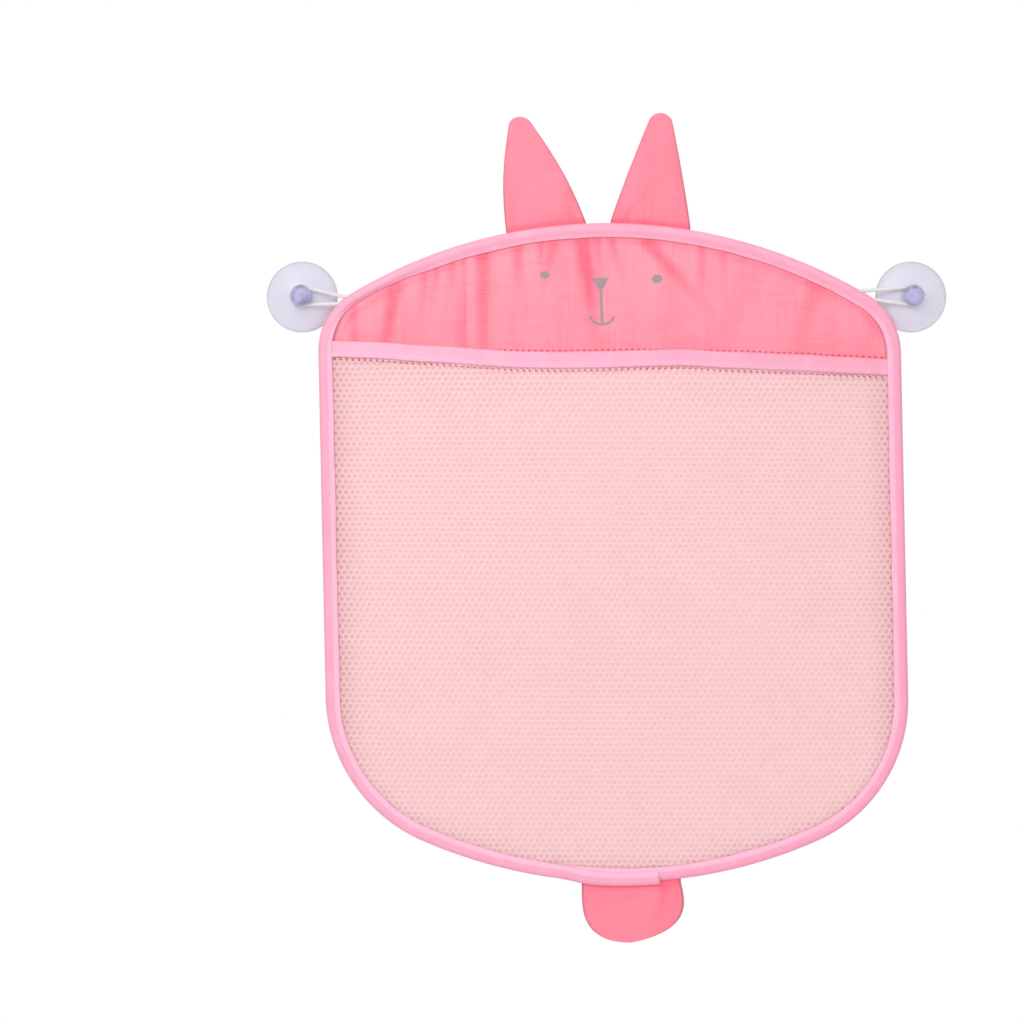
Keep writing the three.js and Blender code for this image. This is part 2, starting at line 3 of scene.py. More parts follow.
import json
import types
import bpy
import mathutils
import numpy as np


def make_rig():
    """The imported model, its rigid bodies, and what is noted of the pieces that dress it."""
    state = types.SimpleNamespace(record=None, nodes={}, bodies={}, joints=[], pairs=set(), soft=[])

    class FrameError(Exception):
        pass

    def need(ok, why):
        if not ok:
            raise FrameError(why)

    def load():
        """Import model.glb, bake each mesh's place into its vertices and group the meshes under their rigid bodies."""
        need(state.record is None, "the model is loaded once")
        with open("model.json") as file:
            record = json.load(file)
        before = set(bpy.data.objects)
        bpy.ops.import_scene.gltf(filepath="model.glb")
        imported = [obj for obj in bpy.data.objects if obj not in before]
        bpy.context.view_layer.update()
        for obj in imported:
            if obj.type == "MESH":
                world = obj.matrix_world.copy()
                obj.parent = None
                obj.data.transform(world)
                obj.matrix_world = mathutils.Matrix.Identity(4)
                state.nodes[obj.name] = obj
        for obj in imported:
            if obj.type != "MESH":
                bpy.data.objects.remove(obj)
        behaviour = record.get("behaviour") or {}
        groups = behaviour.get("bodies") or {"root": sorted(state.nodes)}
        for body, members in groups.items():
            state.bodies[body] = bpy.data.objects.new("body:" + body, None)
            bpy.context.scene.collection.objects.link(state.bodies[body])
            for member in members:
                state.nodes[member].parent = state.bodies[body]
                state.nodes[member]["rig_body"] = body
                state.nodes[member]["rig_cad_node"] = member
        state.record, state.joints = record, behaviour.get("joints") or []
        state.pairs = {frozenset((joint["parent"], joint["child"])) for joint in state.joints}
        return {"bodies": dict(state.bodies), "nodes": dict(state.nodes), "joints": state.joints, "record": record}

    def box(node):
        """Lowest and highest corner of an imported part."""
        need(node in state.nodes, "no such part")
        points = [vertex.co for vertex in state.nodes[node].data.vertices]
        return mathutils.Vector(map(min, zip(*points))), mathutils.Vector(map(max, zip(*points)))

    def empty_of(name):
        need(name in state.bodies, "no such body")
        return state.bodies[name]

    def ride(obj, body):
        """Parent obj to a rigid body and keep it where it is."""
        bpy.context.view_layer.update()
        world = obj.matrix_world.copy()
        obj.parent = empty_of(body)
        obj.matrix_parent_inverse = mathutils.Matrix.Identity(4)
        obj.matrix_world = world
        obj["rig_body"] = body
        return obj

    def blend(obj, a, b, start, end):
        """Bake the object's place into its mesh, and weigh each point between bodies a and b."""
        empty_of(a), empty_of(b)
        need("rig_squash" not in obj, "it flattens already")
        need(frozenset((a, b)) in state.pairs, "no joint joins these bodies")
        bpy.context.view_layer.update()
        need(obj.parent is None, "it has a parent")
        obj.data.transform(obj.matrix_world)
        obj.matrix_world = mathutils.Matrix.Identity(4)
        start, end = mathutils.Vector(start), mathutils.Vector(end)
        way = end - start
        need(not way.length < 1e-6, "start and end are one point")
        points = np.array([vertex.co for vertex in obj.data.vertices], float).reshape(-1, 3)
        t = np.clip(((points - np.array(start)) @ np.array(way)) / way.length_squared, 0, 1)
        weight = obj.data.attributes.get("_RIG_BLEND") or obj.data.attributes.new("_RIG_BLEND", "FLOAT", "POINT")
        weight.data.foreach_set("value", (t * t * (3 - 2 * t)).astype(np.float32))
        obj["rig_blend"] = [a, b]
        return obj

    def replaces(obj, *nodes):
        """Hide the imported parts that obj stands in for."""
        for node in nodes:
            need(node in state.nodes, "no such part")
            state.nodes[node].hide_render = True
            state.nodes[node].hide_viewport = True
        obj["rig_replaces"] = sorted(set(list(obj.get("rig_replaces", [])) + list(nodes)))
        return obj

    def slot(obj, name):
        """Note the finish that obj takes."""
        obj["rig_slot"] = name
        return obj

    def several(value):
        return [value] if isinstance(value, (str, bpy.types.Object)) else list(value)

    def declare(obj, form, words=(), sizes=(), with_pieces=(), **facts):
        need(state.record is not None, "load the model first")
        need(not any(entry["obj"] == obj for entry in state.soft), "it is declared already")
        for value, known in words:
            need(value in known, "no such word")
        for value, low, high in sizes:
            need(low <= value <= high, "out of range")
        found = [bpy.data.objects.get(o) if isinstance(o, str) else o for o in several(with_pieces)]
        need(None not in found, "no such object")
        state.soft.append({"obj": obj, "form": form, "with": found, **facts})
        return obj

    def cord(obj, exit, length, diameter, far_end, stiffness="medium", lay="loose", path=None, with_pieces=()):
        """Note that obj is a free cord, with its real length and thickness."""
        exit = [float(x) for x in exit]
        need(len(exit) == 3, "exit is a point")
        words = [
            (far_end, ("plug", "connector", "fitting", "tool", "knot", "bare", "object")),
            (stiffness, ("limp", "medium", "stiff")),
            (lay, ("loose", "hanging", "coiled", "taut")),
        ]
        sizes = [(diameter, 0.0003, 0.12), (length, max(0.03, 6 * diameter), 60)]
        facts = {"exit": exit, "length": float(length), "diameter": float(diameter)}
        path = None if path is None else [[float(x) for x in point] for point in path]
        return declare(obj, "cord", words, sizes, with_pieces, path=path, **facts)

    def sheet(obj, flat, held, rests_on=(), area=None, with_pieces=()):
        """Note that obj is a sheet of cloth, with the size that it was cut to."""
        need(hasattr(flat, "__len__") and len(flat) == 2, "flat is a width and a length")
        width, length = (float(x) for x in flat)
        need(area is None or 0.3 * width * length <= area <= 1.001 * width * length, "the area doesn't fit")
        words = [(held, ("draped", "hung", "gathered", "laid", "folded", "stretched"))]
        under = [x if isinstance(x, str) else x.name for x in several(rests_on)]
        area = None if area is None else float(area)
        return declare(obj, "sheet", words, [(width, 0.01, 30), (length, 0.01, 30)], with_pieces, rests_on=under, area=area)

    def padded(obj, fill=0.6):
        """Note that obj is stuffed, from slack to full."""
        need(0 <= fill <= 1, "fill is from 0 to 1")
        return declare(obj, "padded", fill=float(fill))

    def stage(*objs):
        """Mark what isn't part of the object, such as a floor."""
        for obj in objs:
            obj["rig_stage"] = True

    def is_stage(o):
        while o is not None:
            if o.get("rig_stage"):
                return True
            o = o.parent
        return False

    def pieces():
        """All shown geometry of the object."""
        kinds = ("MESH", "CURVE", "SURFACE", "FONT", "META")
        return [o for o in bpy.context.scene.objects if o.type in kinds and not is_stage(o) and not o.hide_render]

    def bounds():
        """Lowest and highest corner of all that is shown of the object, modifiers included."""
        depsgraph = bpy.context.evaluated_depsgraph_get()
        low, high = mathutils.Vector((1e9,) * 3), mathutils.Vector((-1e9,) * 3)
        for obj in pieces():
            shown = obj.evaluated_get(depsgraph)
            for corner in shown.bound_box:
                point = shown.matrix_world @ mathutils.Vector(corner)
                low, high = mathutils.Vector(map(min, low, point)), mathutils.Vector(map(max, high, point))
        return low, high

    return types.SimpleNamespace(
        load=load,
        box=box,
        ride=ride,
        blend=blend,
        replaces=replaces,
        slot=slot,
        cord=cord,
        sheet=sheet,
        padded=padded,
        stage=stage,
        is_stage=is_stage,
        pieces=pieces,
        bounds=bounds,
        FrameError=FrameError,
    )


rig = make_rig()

bl_info = {
    "name": "Bath Toy Organizer",
    "version": (1, 0, 0),
    "blender": (4, 5, 0),
    "location": "View3D > Sidebar > Organizer",
    "description": "Builds the cloth, tapes, cords and cups of a hanging net organizer on its frame",
    "category": "Object",
}

import json
import math

import bmesh
import bpy
from bpy.props import FloatProperty, FloatVectorProperty, IntProperty, PointerProperty
from mathutils import Matrix, Vector, noise

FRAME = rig.load()
CAD_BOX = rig.bounds()
SIZE_FILE = "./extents.json"
JOINTS = {joint["name"]: joint for joint in FRAME["joints"]}
MM = 0.001
TURN = 2 * math.pi


def layers(node):
    """Y of a solid's front and of its back."""
    low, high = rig.box(node)
    return low.y, high.y


# Layers of the bag along Y, read from the solids
HALF_PLY = 0.25 * MM
TAPE_FRONT, TAPE_BACK = layers("perimeter_binding")
FACE_Y = layers("face_panel")[1] - HALF_PLY
BACK_NET_Y = sum(layers("back_mesh")) / 2
POCKET_Y = layers("pocket_mesh")[1] - HALF_PLY
BAND_BACK = layers("mouth_binding")[1]

# How far inside the tape's fold the face panel and the nets are cut
PANEL_INSET = 1.1 * MM
NET_INSET = 1.6 * MM

# Where the mouth band sags and where it lifts: place across the bag, amount and reach
BAND_SAG = (-45 * MM, 3.6 * MM, 62 * MM)
BAND_LIFT = (40 * MM, 0.9 * MM, 26 * MM)
BAND_WAVE = 0.45 * MM


def length(default, name, description):
    """A length property in metres."""
    return FloatProperty(name=name, description=description, default=default, unit="LENGTH", precision=5)


def angle(degrees, name, description):
    """An angle property."""
    return FloatProperty(name=name, description=description, default=math.radians(degrees), subtype="ANGLE")


def colour(red, green, blue, name, description):
    """A colour property, given as it looks on a screen from 0 to 255."""
    linear = [to_linear(value / 255) for value in (red, green, blue)]
    return FloatVectorProperty(
        name=name, description=description, default=linear, min=0, max=1, size=3, subtype="COLOR"
    )


def to_linear(value):
    """A screen value from 0 to 1 as linear light."""
    if value <= 0.04045:
        return value / 12.92
    return ((value + 0.055) / 1.055) ** 2.4


class OutlineSizes(bpy.types.PropertyGroup):
    """Outline of the bag: tangent arcs that hang a little askew."""

    width: length(0.327, "Width", "Width of the bag over its side tapes")
    crown: length(0.041, "Crown", "Height of the crown over the cups")
    bottom: length(-0.329, "Bottom", "Height of the lowest point of the bag")
    crown_radius: length(0.283, "Crown radius", "Radius of the upper edge")
    shoulder_radius: length(0.038, "Shoulder radius", "Radius of the upper corners")
    corner_radius: length(0.088, "Corner radius", "Radius of the lower corners")
    bottom_radius: length(0.275, "Bottom radius", "Radius of the lower edge")
    lean: FloatProperty(name="Lean", description="Sideways shift per height below the crown", default=0.021)


class PocketSizes(bpy.types.PropertyGroup):
    """Pocket mouth, its nets and the panel behind them."""

    mouth: length(-0.0302, "Mouth", "Height of the mouth band's upper edge on the bag's axis")
    tilt: angle(1.9, "Tilt", "Fall of the mouth band from left to right")
    gape: length(0.022, "Gape", "How far the pocket stands out at its mouth")
    band: length(0.0092, "Band", "Height of the mouth band")
    panel_edge: length(-0.033, "Panel edge", "Height of the face panel's lower edge")
    lap: length(0.009, "Lap", "Overlap of the back net behind the face panel")
    flat_edge: length(0.012, "Flat edge", "Width of the flat margin that the tape grips")
    pitch: length(0.0035, "Pitch", "Distance between net holes along a row")
    row: length(0.003, "Row", "Distance between rows of net holes")
    yarn: length(0.0021, "Yarn", "Width of the yarn between two holes of the pocket net")
    back_yarn: length(0.0026, "Back yarn", "Width of the yarn between two holes of the denser back net")


class TapeSizes(bpy.types.PropertyGroup):
    """Folded tapes and their thread."""

    width: length(0.008, "Width", "Width of the folded perimeter tape")
    thickness: length(0.0008, "Thickness", "Thickness of the tape")
    ripple: length(0.0004, "Ripple", "Waviness of the tape's edges")
    lap_centre: length(0.003, "Lap centre", "Middle of the tape's lapped ends across the bag")
    lap_length: length(0.038, "Lap length", "Length of the tape's lapped ends")
    stitch: length(0.0026, "Stitch", "Length of one stitch")
    stitch_gap: length(0.0008, "Stitch gap", "Gap between two stitches")
    thread: length(0.00042, "Thread", "Diameter of the sewing thread")


class FlapSizes(bpy.types.PropertyGroup):
    """Ears and tail: two plies sewn round their edge."""

    ear_base: length(0.045, "Ear base", "Width of an ear at its base seam")
    ear_height: length(0.062, "Ear height", "Height of an ear over its base seam")
    ear_tip: length(0.007, "Ear tip", "Radius of an ear's tip")
    ear_puff: length(0.0026, "Ear puff", "How far each ply of an ear stands out")
    left_ear: length(-0.0345, "Left ear", "Place of the left ear across the bag")
    left_lean: angle(-14.3, "Left lean", "Lean of the left ear")
    left_bow: length(0.0022, "Left bow", "Outward bow of the left ear's edges")
    right_ear: length(0.0245, "Right ear", "Place of the right ear across the bag")
    right_lean: angle(5.7, "Right lean", "Lean of the right ear")
    right_bow: length(0.0004, "Right bow", "Outward bow of the right ear's edges")
    tail_width: length(0.058, "Tail width", "Width of the tail")
    tail_length: length(0.032, "Tail length", "Length of the tail below its seam")
    tail_puff: length(0.0021, "Tail puff", "How far each ply of the tail stands out")
    tail_place: length(0.0057, "Tail place", "Place of the tail across the bag")
    tail_lean: angle(180, "Tail lean", "Direction of the tail from upright")
    tuck: length(0.0022, "Tuck", "How far a flap reaches into the tape")


class CupSizes(bpy.types.PropertyGroup):
    """Suction cups and the cord loops that hook round their necks."""

    outreach: length(0.008, "Outreach", "Distance of a cup's axis beyond the bag's side")
    diameter: length(0.040, "Diameter", "Diameter of a cup")
    dish: length(0.005, "Dish", "Depth of the dish")
    height: length(0.0068, "Height", "Height of the disc over the wall")
    boss: length(0.0048, "Boss", "Radius of the boss under the neck")
    neck: length(0.0036, "Neck", "Radius of the neck")
    neck_base: length(0.0082, "Neck base", "Height of the neck's foot over the wall")
    neck_length: length(0.0035, "Neck length", "Length of the neck")
    head: length(0.006, "Head", "Radius of the mushroom head")
    head_height: length(0.0044, "Head height", "Height of the mushroom head")
    cord: length(0.0022, "Cord", "Diameter of the loop cord")
    left_spread: length(0.0065, "Left spread", "Distance between the left loop's two roots")
    right_spread: length(0.0095, "Right spread", "Distance between the right loop's two roots")


class Finishes(bpy.types.PropertyGroup):
    """Colours of the organizer's materials."""

    face: colour(255, 158, 175, "Face", "Woven cloth of the face panel")
    # The ears and the tail are the face panel's cloth, set darker as painted shade.
    woven: colour(254, 145, 163, "Woven", "Woven cloth of the ears")
    tail: colour(254, 139, 158, "Tail", "Woven cloth of the tail")
    # A darker copy of the cloth for painted shade: in folds and at a crease, under the crown tape, and along the
    # flaps' base seams and edges.
    woven_painted_shade: colour(250, 112, 134, "Woven fold", "Woven cloth deep in its folds")
    tape: colour(248, 162, 187, "Tape", "Folded edge tape")
    tape_pale: colour(253, 190, 214, "Tape pale", "Raised part of the tape")
    tape_lilac: colour(236, 178, 214, "Tape lilac", "Worn flecks of the tape")
    net: colour(250, 222, 223, "Net", "Net yarn")
    # Net deep is the net's colour darkened as painted shade beside its holes.
    net_deep: colour(245, 202, 204, "Net deep", "Net yarn beside its holes")
    # Net shade is painted shade round the holes where the net is drawn tight, beside the tapes and under the mouth
    # band.
    net_shade: colour(204, 124, 134, "Net shade", "Net yarn drawn tight beside the tapes")
    thread: colour(253, 194, 214, "Thread", "Sewing thread of the tapes")
    # The panel thread's dark colour is painted shade: it copies the dark dots that shade in the holes along the seam
    # gives.
    panel_thread: colour(206, 98, 116, "Panel thread", "Sewing thread of the face panel's lower seam")
    # The catch thread's dark colour is painted shade: it makes the row of dark dots that shade in the net's holes
    # gives under the band.
    catch_thread: colour(208, 116, 134, "Catch thread", "Thread that catches the net under the mouth band")
    print_grey: colour(150, 150, 152, "Print", "Printed face")
    cord: colour(244, 244, 246, "Cord", "Loop cord")
    cup: colour(231, 228, 241, "Cup", "Clear disc of a cup")
    stud: colour(194, 187, 227, "Stud", "Thick head and neck of a cup")


def settings():
    """The scene's organizer settings."""
    return bpy.context.scene.organizer


class OrganizerSettings(bpy.types.PropertyGroup):
    """All sizes and finishes of the organizer."""

    outline: PointerProperty(type=OutlineSizes)
    pocket: PointerProperty(type=PocketSizes)
    tape: PointerProperty(type=TapeSizes)
    flaps: PointerProperty(type=FlapSizes)
    cups: PointerProperty(type=CupSizes)
    finishes: PointerProperty(type=Finishes)
    detail: IntProperty(
        name="Detail", description="Steps along a metre of tape", default=420, min=100, max=900
    )


class BagForm:
    """Outline, mouth and bulge of the bag, worked out from its settings."""

    def __init__(self):
        sizes = settings().outline
        self.pocket = settings().pocket
        self.crown = sizes.crown
        self.lean = sizes.lean
        self.half = sizes.width / 2
        self.crown_radius = sizes.crown_radius
        self.shoulder_radius = sizes.shoulder_radius
        self.corner_radius = sizes.corner_radius
        self.bottom_radius = sizes.bottom_radius
        crown_reach = sizes.crown_radius - sizes.shoulder_radius
        bottom_reach = sizes.bottom_radius - sizes.corner_radius
        self.crown_centre = sizes.crown - sizes.crown_radius
        self.shoulder_x = self.half - sizes.shoulder_radius
        self.shoulder_z = self.crown_centre + math.sqrt(crown_reach**2 - self.shoulder_x**2)
        self.bottom_centre = sizes.bottom + sizes.bottom_radius
        self.corner_x = self.half - sizes.corner_radius
        self.corner_z = self.bottom_centre - math.sqrt(bottom_reach**2 - self.corner_x**2)
        self.join_top = math.asin(self.shoulder_x / crown_reach)
        self.join_low = math.asin(self.corner_x / bottom_reach)
        self.runs = self.edge_runs()
        self.edge_length = sum(run[0] for run in self.runs)

    def askew(self, x, z):
        """The bag hangs a little askew: its lower end stands to the right."""
        return x + self.lean * (self.crown - z)

    def upper(self, x, inset=0.0):
        """Upper edge of the outline at x, moved inwards by an inset."""
        across = abs(x)
        crown = self.crown_radius - inset
        shoulder = self.shoulder_radius - inset
        if across <= crown * math.sin(self.join_top):
            return self.crown_centre + math.sqrt(crown**2 - across**2)
        return self.shoulder_z + math.sqrt(max(0, shoulder**2 - (across - self.shoulder_x) ** 2))

    def lower(self, x, inset=0.0):
        """Lower edge of the outline at x, moved inwards by an inset."""
        across = abs(x)
        bottom = self.bottom_radius - inset
        corner = self.corner_radius - inset
        if across <= bottom * math.sin(self.join_low):
            return self.bottom_centre - math.sqrt(bottom**2 - across**2)
        return self.corner_z - math.sqrt(max(0, corner**2 - (across - self.corner_x) ** 2))

    def mouth_top(self, x):
        """Upper edge of the pocket's mouth band."""
        return self.pocket.mouth - x * math.tan(self.pocket.tilt)

    def band_top(self, x):
        """Upper edge of the mouth band as it hangs: it sags, lifts and waves a little between its ends."""
        free = ease(self.half - abs(x), 8 * MM, 30 * MM)
        wave = BAND_WAVE * drift(x, 21, 0, 24 * MM)
        return self.mouth_top(x) + free * (swell(x, *BAND_LIFT) + wave - swell(x, *BAND_SAG))

    def bulge(self, x, z):
        """How far the pocket net stands out from its sewn edge."""
        reach = self.half - self.pocket.flat_edge
        if abs(x) >= reach:
            return 0.0
        floor = self.lower(x, self.pocket.flat_edge)
        rise = limit((z - floor) / (self.mouth_top(x) - floor))
        return self.pocket.gape * (1 - (x / reach) ** 2) * math.sin(rise * math.pi / 2)

    def edge_runs(self):
        """Arcs and straights of the outline, clockwise from the crown: length, centre, radius and turns."""
        turn = math.pi
        side = self.shoulder_z - self.corner_z
        crown = (0, self.crown_centre, self.crown_radius)
        bottom = (0, self.bottom_centre, self.bottom_radius)
        arcs = [
            (*crown, 0, self.join_top),
            (self.shoulder_x, self.shoulder_z, self.shoulder_radius, self.join_top, turn / 2),
            (self.half, self.shoulder_z, None, turn / 2, -1),
            (self.corner_x, self.corner_z, self.corner_radius, turn / 2, turn - self.join_low),
            (*bottom, turn - self.join_low, turn + self.join_low),
            (-self.corner_x, self.corner_z, self.corner_radius, turn + self.join_low, 1.5 * turn),
            (-self.half, self.corner_z, None, 1.5 * turn, 1),
            (-self.shoulder_x, self.shoulder_z, self.shoulder_radius, 1.5 * turn, 2 * turn - self.join_top),
            (*crown, 2 * turn - self.join_top, 2 * turn),
        ]
        runs = []
        for x, z, radius, start, end in arcs:
            distance = side if radius is None else radius * (end - start)
            runs.append((distance, x, z, radius, start, end))
        return runs

    def edge(self, distance):
        """Place on the outline and its outward direction, at a distance clockwise from the crown."""
        distance %= self.edge_length
        for run_length, x, z, radius, start, end in self.runs:
            if distance > run_length:
                distance -= run_length
                continue
            if radius is None:
                return x, z + end * distance, math.copysign(1, x), 0.0
            turn = start + distance / radius
            return x + radius * math.sin(turn), z + radius * math.cos(turn), math.sin(turn), math.cos(turn)
        return 0.0, self.crown, 0.0, 1.0

    def bottom_distance(self, x):
        """Distance along the outline of a place on the bottom arc."""
        return self.edge_length / 2 - self.bottom_radius * math.asin(x / self.bottom_radius)

    def along_edge(self, distance, inwards, y):
        """A point beside the outline: distance along it, inwards from it and its layer."""
        x, z, out_x, out_z = self.edge(distance)
        x -= out_x * inwards
        z -= out_z * inwards
        return Vector((self.askew(x, z), y, z))

    def cut_area(self, top, bottom):
        """Flat area between an upper and a lower edge of the bag, cut inside the tape's fold."""
        steps = 400
        reach = self.half - PANEL_INSET
        step = 2 * reach / steps
        places = [-reach + (i + 0.5) * step for i in range(steps)]
        return sum(max(0, top(x) - bottom(x)) * step for x in places)


def limit(value):
    """A value kept from 0 to 1."""
    return min(1, max(0, value))


def bell(value, width):
    """A smooth bump: 1 at zero, fading over a width."""
    return math.exp(-((value / width) ** 2))


def swell(x, place, amount, reach):
    """A smooth rise by an amount, highest at a place."""
    return amount * bell(x - place, reach)


def ease(value, start, end):
    """Smooth step from 0 at start to 1 at end."""
    part = limit((value - start) / (end - start))
    return part * part * (3 - 2 * part)


def drift(x, y, z, scale):
    """Smooth unevenness from -1 to 1 with features of about this size in metres."""
    return noise.noise(Vector((x / scale, y / scale, z / scale)))


def piece(name, shape, material):
    """An object at the origin from a finished bmesh."""
    for face in shape.faces:
        face.smooth = True
    mesh = bpy.data.meshes.new(name)
    shape.to_mesh(mesh)
    shape.free()
    made = bpy.data.objects.new(name, mesh)
    bpy.context.scene.collection.objects.link(made)
    made.data.materials.append(material)
    return made


def cloth(columns, rows, place, spread=(1, 1), closed=False, depth=None):
    """A grid of cloth, placed by two shares from 0 to 1, whose UV map is the cut cloth.

    spread is the size of that map. depth gives each point's painted shade, kept as its fold value for the finish to
    read.
    """
    shape = bmesh.new()
    bmesh.ops.create_grid(shape, x_segments=columns, y_segments=rows, size=0.5)
    cut = shape.loops.layers.uv.new("Cut")
    fold = shape.verts.layers.float.new("fold")
    for face in shape.faces:
        for loop in face.loops:
            flat = loop.vert.co
            loop[cut].uv = ((flat.x + 0.5) * spread[0], (flat.y + 0.5) * spread[1])
    for vert in shape.verts:
        u, v = vert.co.x + 0.5, vert.co.y + 0.5
        if depth:
            vert[fold] = limit(depth(u, v))
        vert.co = place(u, v)
    if closed:
        bmesh.ops.remove_doubles(shape, verts=shape.verts, dist=1e-6)
    bmesh.ops.recalc_face_normals(shape, faces=shape.faces)
    return shape


def thicken(made, thickness, backing=None):
    """Gives a cloth its thickness, half to each side, and its other side a finish of its own."""
    modifier = made.modifiers.new("Thickness", "SOLIDIFY")
    modifier.thickness = thickness
    modifier.offset = 0
    if backing:
        made.data.materials.append(backing)
        modifier.material_offset = 1


class Socket:
    """A shader value whose arithmetic adds Math nodes."""

    def __init__(self, shading, link):
        self.shading = shading
        self.link = link

    def maths(self, operation, *values):
        return self.shading.node("ShaderNodeMath", {"operation": operation}, dict(enumerate(values)))

    def __add__(self, other):
        return self.maths("ADD", self, other)

    def __radd__(self, other):
        return self.maths("ADD", other, self)

    def __sub__(self, other):
        return self.maths("SUBTRACT", self, other)

    def __rsub__(self, other):
        return self.maths("SUBTRACT", other, self)

    def __mul__(self, other):
        return self.maths("MULTIPLY", self, other)

    def __rmul__(self, other):
        return self.maths("MULTIPLY", other, self)

    def __truediv__(self, other):
        return self.maths("DIVIDE", self, other)

    def __pow__(self, other):
        return self.maths("POWER", self, other)

    def __abs__(self):
        return self.maths("ABSOLUTE", self)

    def sine(self):
        return self.maths("SINE", self)

    def root(self):
        return self.maths("SQRT", self)

    def least(self, other):
        return self.maths("MINIMUM", self, other)

    def most(self, other):
        return self.maths("MAXIMUM", self, other)

    def limit(self):
        """The value kept from 0 to 1."""
        return self.most(0.0).least(1.0)

    def wave(self, pitch):
        """A sine along the value, repeated at a pitch."""
        return (self * (TURN / pitch)).sine()

    def rise(self, start, end):
        """Smooth step from 0 at start to 1 at end."""
        inputs = {"Value": self, "From Min": start, "From Max": end}
        return self.shading.node("ShaderNodeMapRange", {"interpolation_type": "SMOOTHSTEP"}, inputs)


class Shading:
    """The nodes of a material or of the world, in the making."""

    def __init__(self, owner):
        owner.use_nodes = True
        self.owner = owner
        self.tree = owner.node_tree
        self.tree.nodes.clear()

    def node(self, kind, options=None, inputs=None, outputs=0):
        """Adds a node: its options, then its sockets' values or links; gives one output or several."""
        made = self.tree.nodes.new(kind)
        for key, value in (options or {}).items():
            setattr(made, key, value)
        for key, value in (inputs or {}).items():
            if isinstance(value, Socket):
                self.tree.links.new(value.link, made.inputs[key])
            else:
                made.inputs[key].default_value = value
        if isinstance(outputs, tuple):
            return [Socket(self, made.outputs[key]) for key in outputs]
        return Socket(self, made.outputs[outputs])


# Sockets of a Mix node that belong to colours
MIX_FIRST = 6
MIX_SECOND = 7
MIX_RESULT = 2


class Finish(Shading):
    """A procedural material in the making."""

    def __init__(self, name):
        super().__init__(bpy.data.materials.new(name))

    def place(self):
        """X, Y and Z of the surface in the object's frame."""
        where = self.node("ShaderNodeTexCoord", outputs="Object")
        return self.node("ShaderNodeSeparateXYZ", inputs={0: where}, outputs=(0, 1, 2))

    def cut(self):
        """Along and across the cut cloth: its UV map."""
        where = self.node("ShaderNodeUVMap", {"uv_map": "Cut"})
        return self.node("ShaderNodeSeparateXYZ", inputs={0: where}, outputs=(0, 1))

    def attribute(self, name):
        """A value that the piece's points carry."""
        return self.node("ShaderNodeAttribute", {"attribute_name": name}, outputs="Fac")

    def noise(self, where, scale, detail):
        """Noise at a place given by three values."""
        point = self.node("ShaderNodeCombineXYZ", inputs=dict(enumerate(where)))
        return self.node("ShaderNodeTexNoise", inputs={"Vector": point, "Scale": scale, "Detail": detail})

    def mix(self, factor, first, second):
        """Mixes two colours, each a Socket or a linear RGB triple."""
        inputs = {0: factor}
        for index, value in ((MIX_FIRST, first), (MIX_SECOND, second)):
            inputs[index] = value if isinstance(value, Socket) else (*value, 1.0)
        return self.node("ShaderNodeMix", {"data_type": "RGBA"}, inputs, MIX_RESULT)

    def bump(self, height, depth, strength):
        """A bump of a given depth in metres."""
        inputs = {"Height": height, "Distance": depth, "Strength": strength}
        return self.node("ShaderNodeBump", inputs=inputs)

    def surface(self, inputs, through=0.0, glow=None):
        """Ends the material in one Principled surface; thin cloth also lets a share of light through."""
        shader = self.node("ShaderNodeBsdfPrincipled", inputs=inputs)
        if through:
            clear = self.node("ShaderNodeBsdfTranslucent", inputs={"Color": (*glow, 1.0)})
            shader = self.node("ShaderNodeMixShader", inputs={0: through, 1: shader, 2: clear})
        self.node("ShaderNodeOutputMaterial", inputs={"Surface": shader}, outputs=())
        return self.owner


def dimmed(base, share):
    """A colour at a share of its brightness."""
    return [channel * share for channel in base]


# The printed eyes: place across, height and radius in millimetres
EYES = ((-35.0, 11.8, 2.15), (28.2, 9.6, 2.4))
EYE_STRETCH = 1.25


def face_print(finish, x, z):
    """Mask of the printed face: two oval eyes, a nose, and a mouth like an anchor."""
    soft = 0.65 * MM
    stroke = 0.8 * MM
    ragged = finish.noise((x, 0.0, z), 420.0, 2.0) - 0.5
    x = x + ragged * 0.8 * MM
    z = z - ragged * 0.6 * MM

    def below(value, edge):
        return (value - edge).rise(soft, -soft)

    def above(value, edge):
        return (value - edge).rise(-soft, soft)

    nose_low = 2.2 * MM
    nose_high = 10.3 * MM
    nose_half = 5.1 * MM
    height = ((z - nose_low) / (nose_high - nose_low)).limit()
    middle = (nose_low - z) * 0.05 - 3.5 * MM
    across = abs(x - middle)
    nose = below(across, height**0.85 * nose_half) * below(z, nose_high) * above(z, nose_low)
    stem_low = -15.2 * MM
    stem_high = 4 * MM
    stem = below(across, stroke) * above(z, stem_low) * below(z, stem_high)
    mouth_half = 6.5 * MM
    mouth_deep = 4.6 * MM
    mouth_z = -11.2 * MM
    oval = (((x - middle) / mouth_half) ** 2 + ((z - mouth_z) / mouth_deep) ** 2).root()
    ring = abs(oval - 1) * ((mouth_half + mouth_deep) / 2)
    mouth = below(ring, stroke) * below(z, mouth_z)
    mask = nose.most(stem).most(mouth)
    for eye_x, eye_z, radius in EYES:
        away = (((x - eye_x * MM) / EYE_STRETCH) ** 2 + (z - eye_z * MM) ** 2).root()
        mask = mask.most(below(away, radius * MM))
    return mask


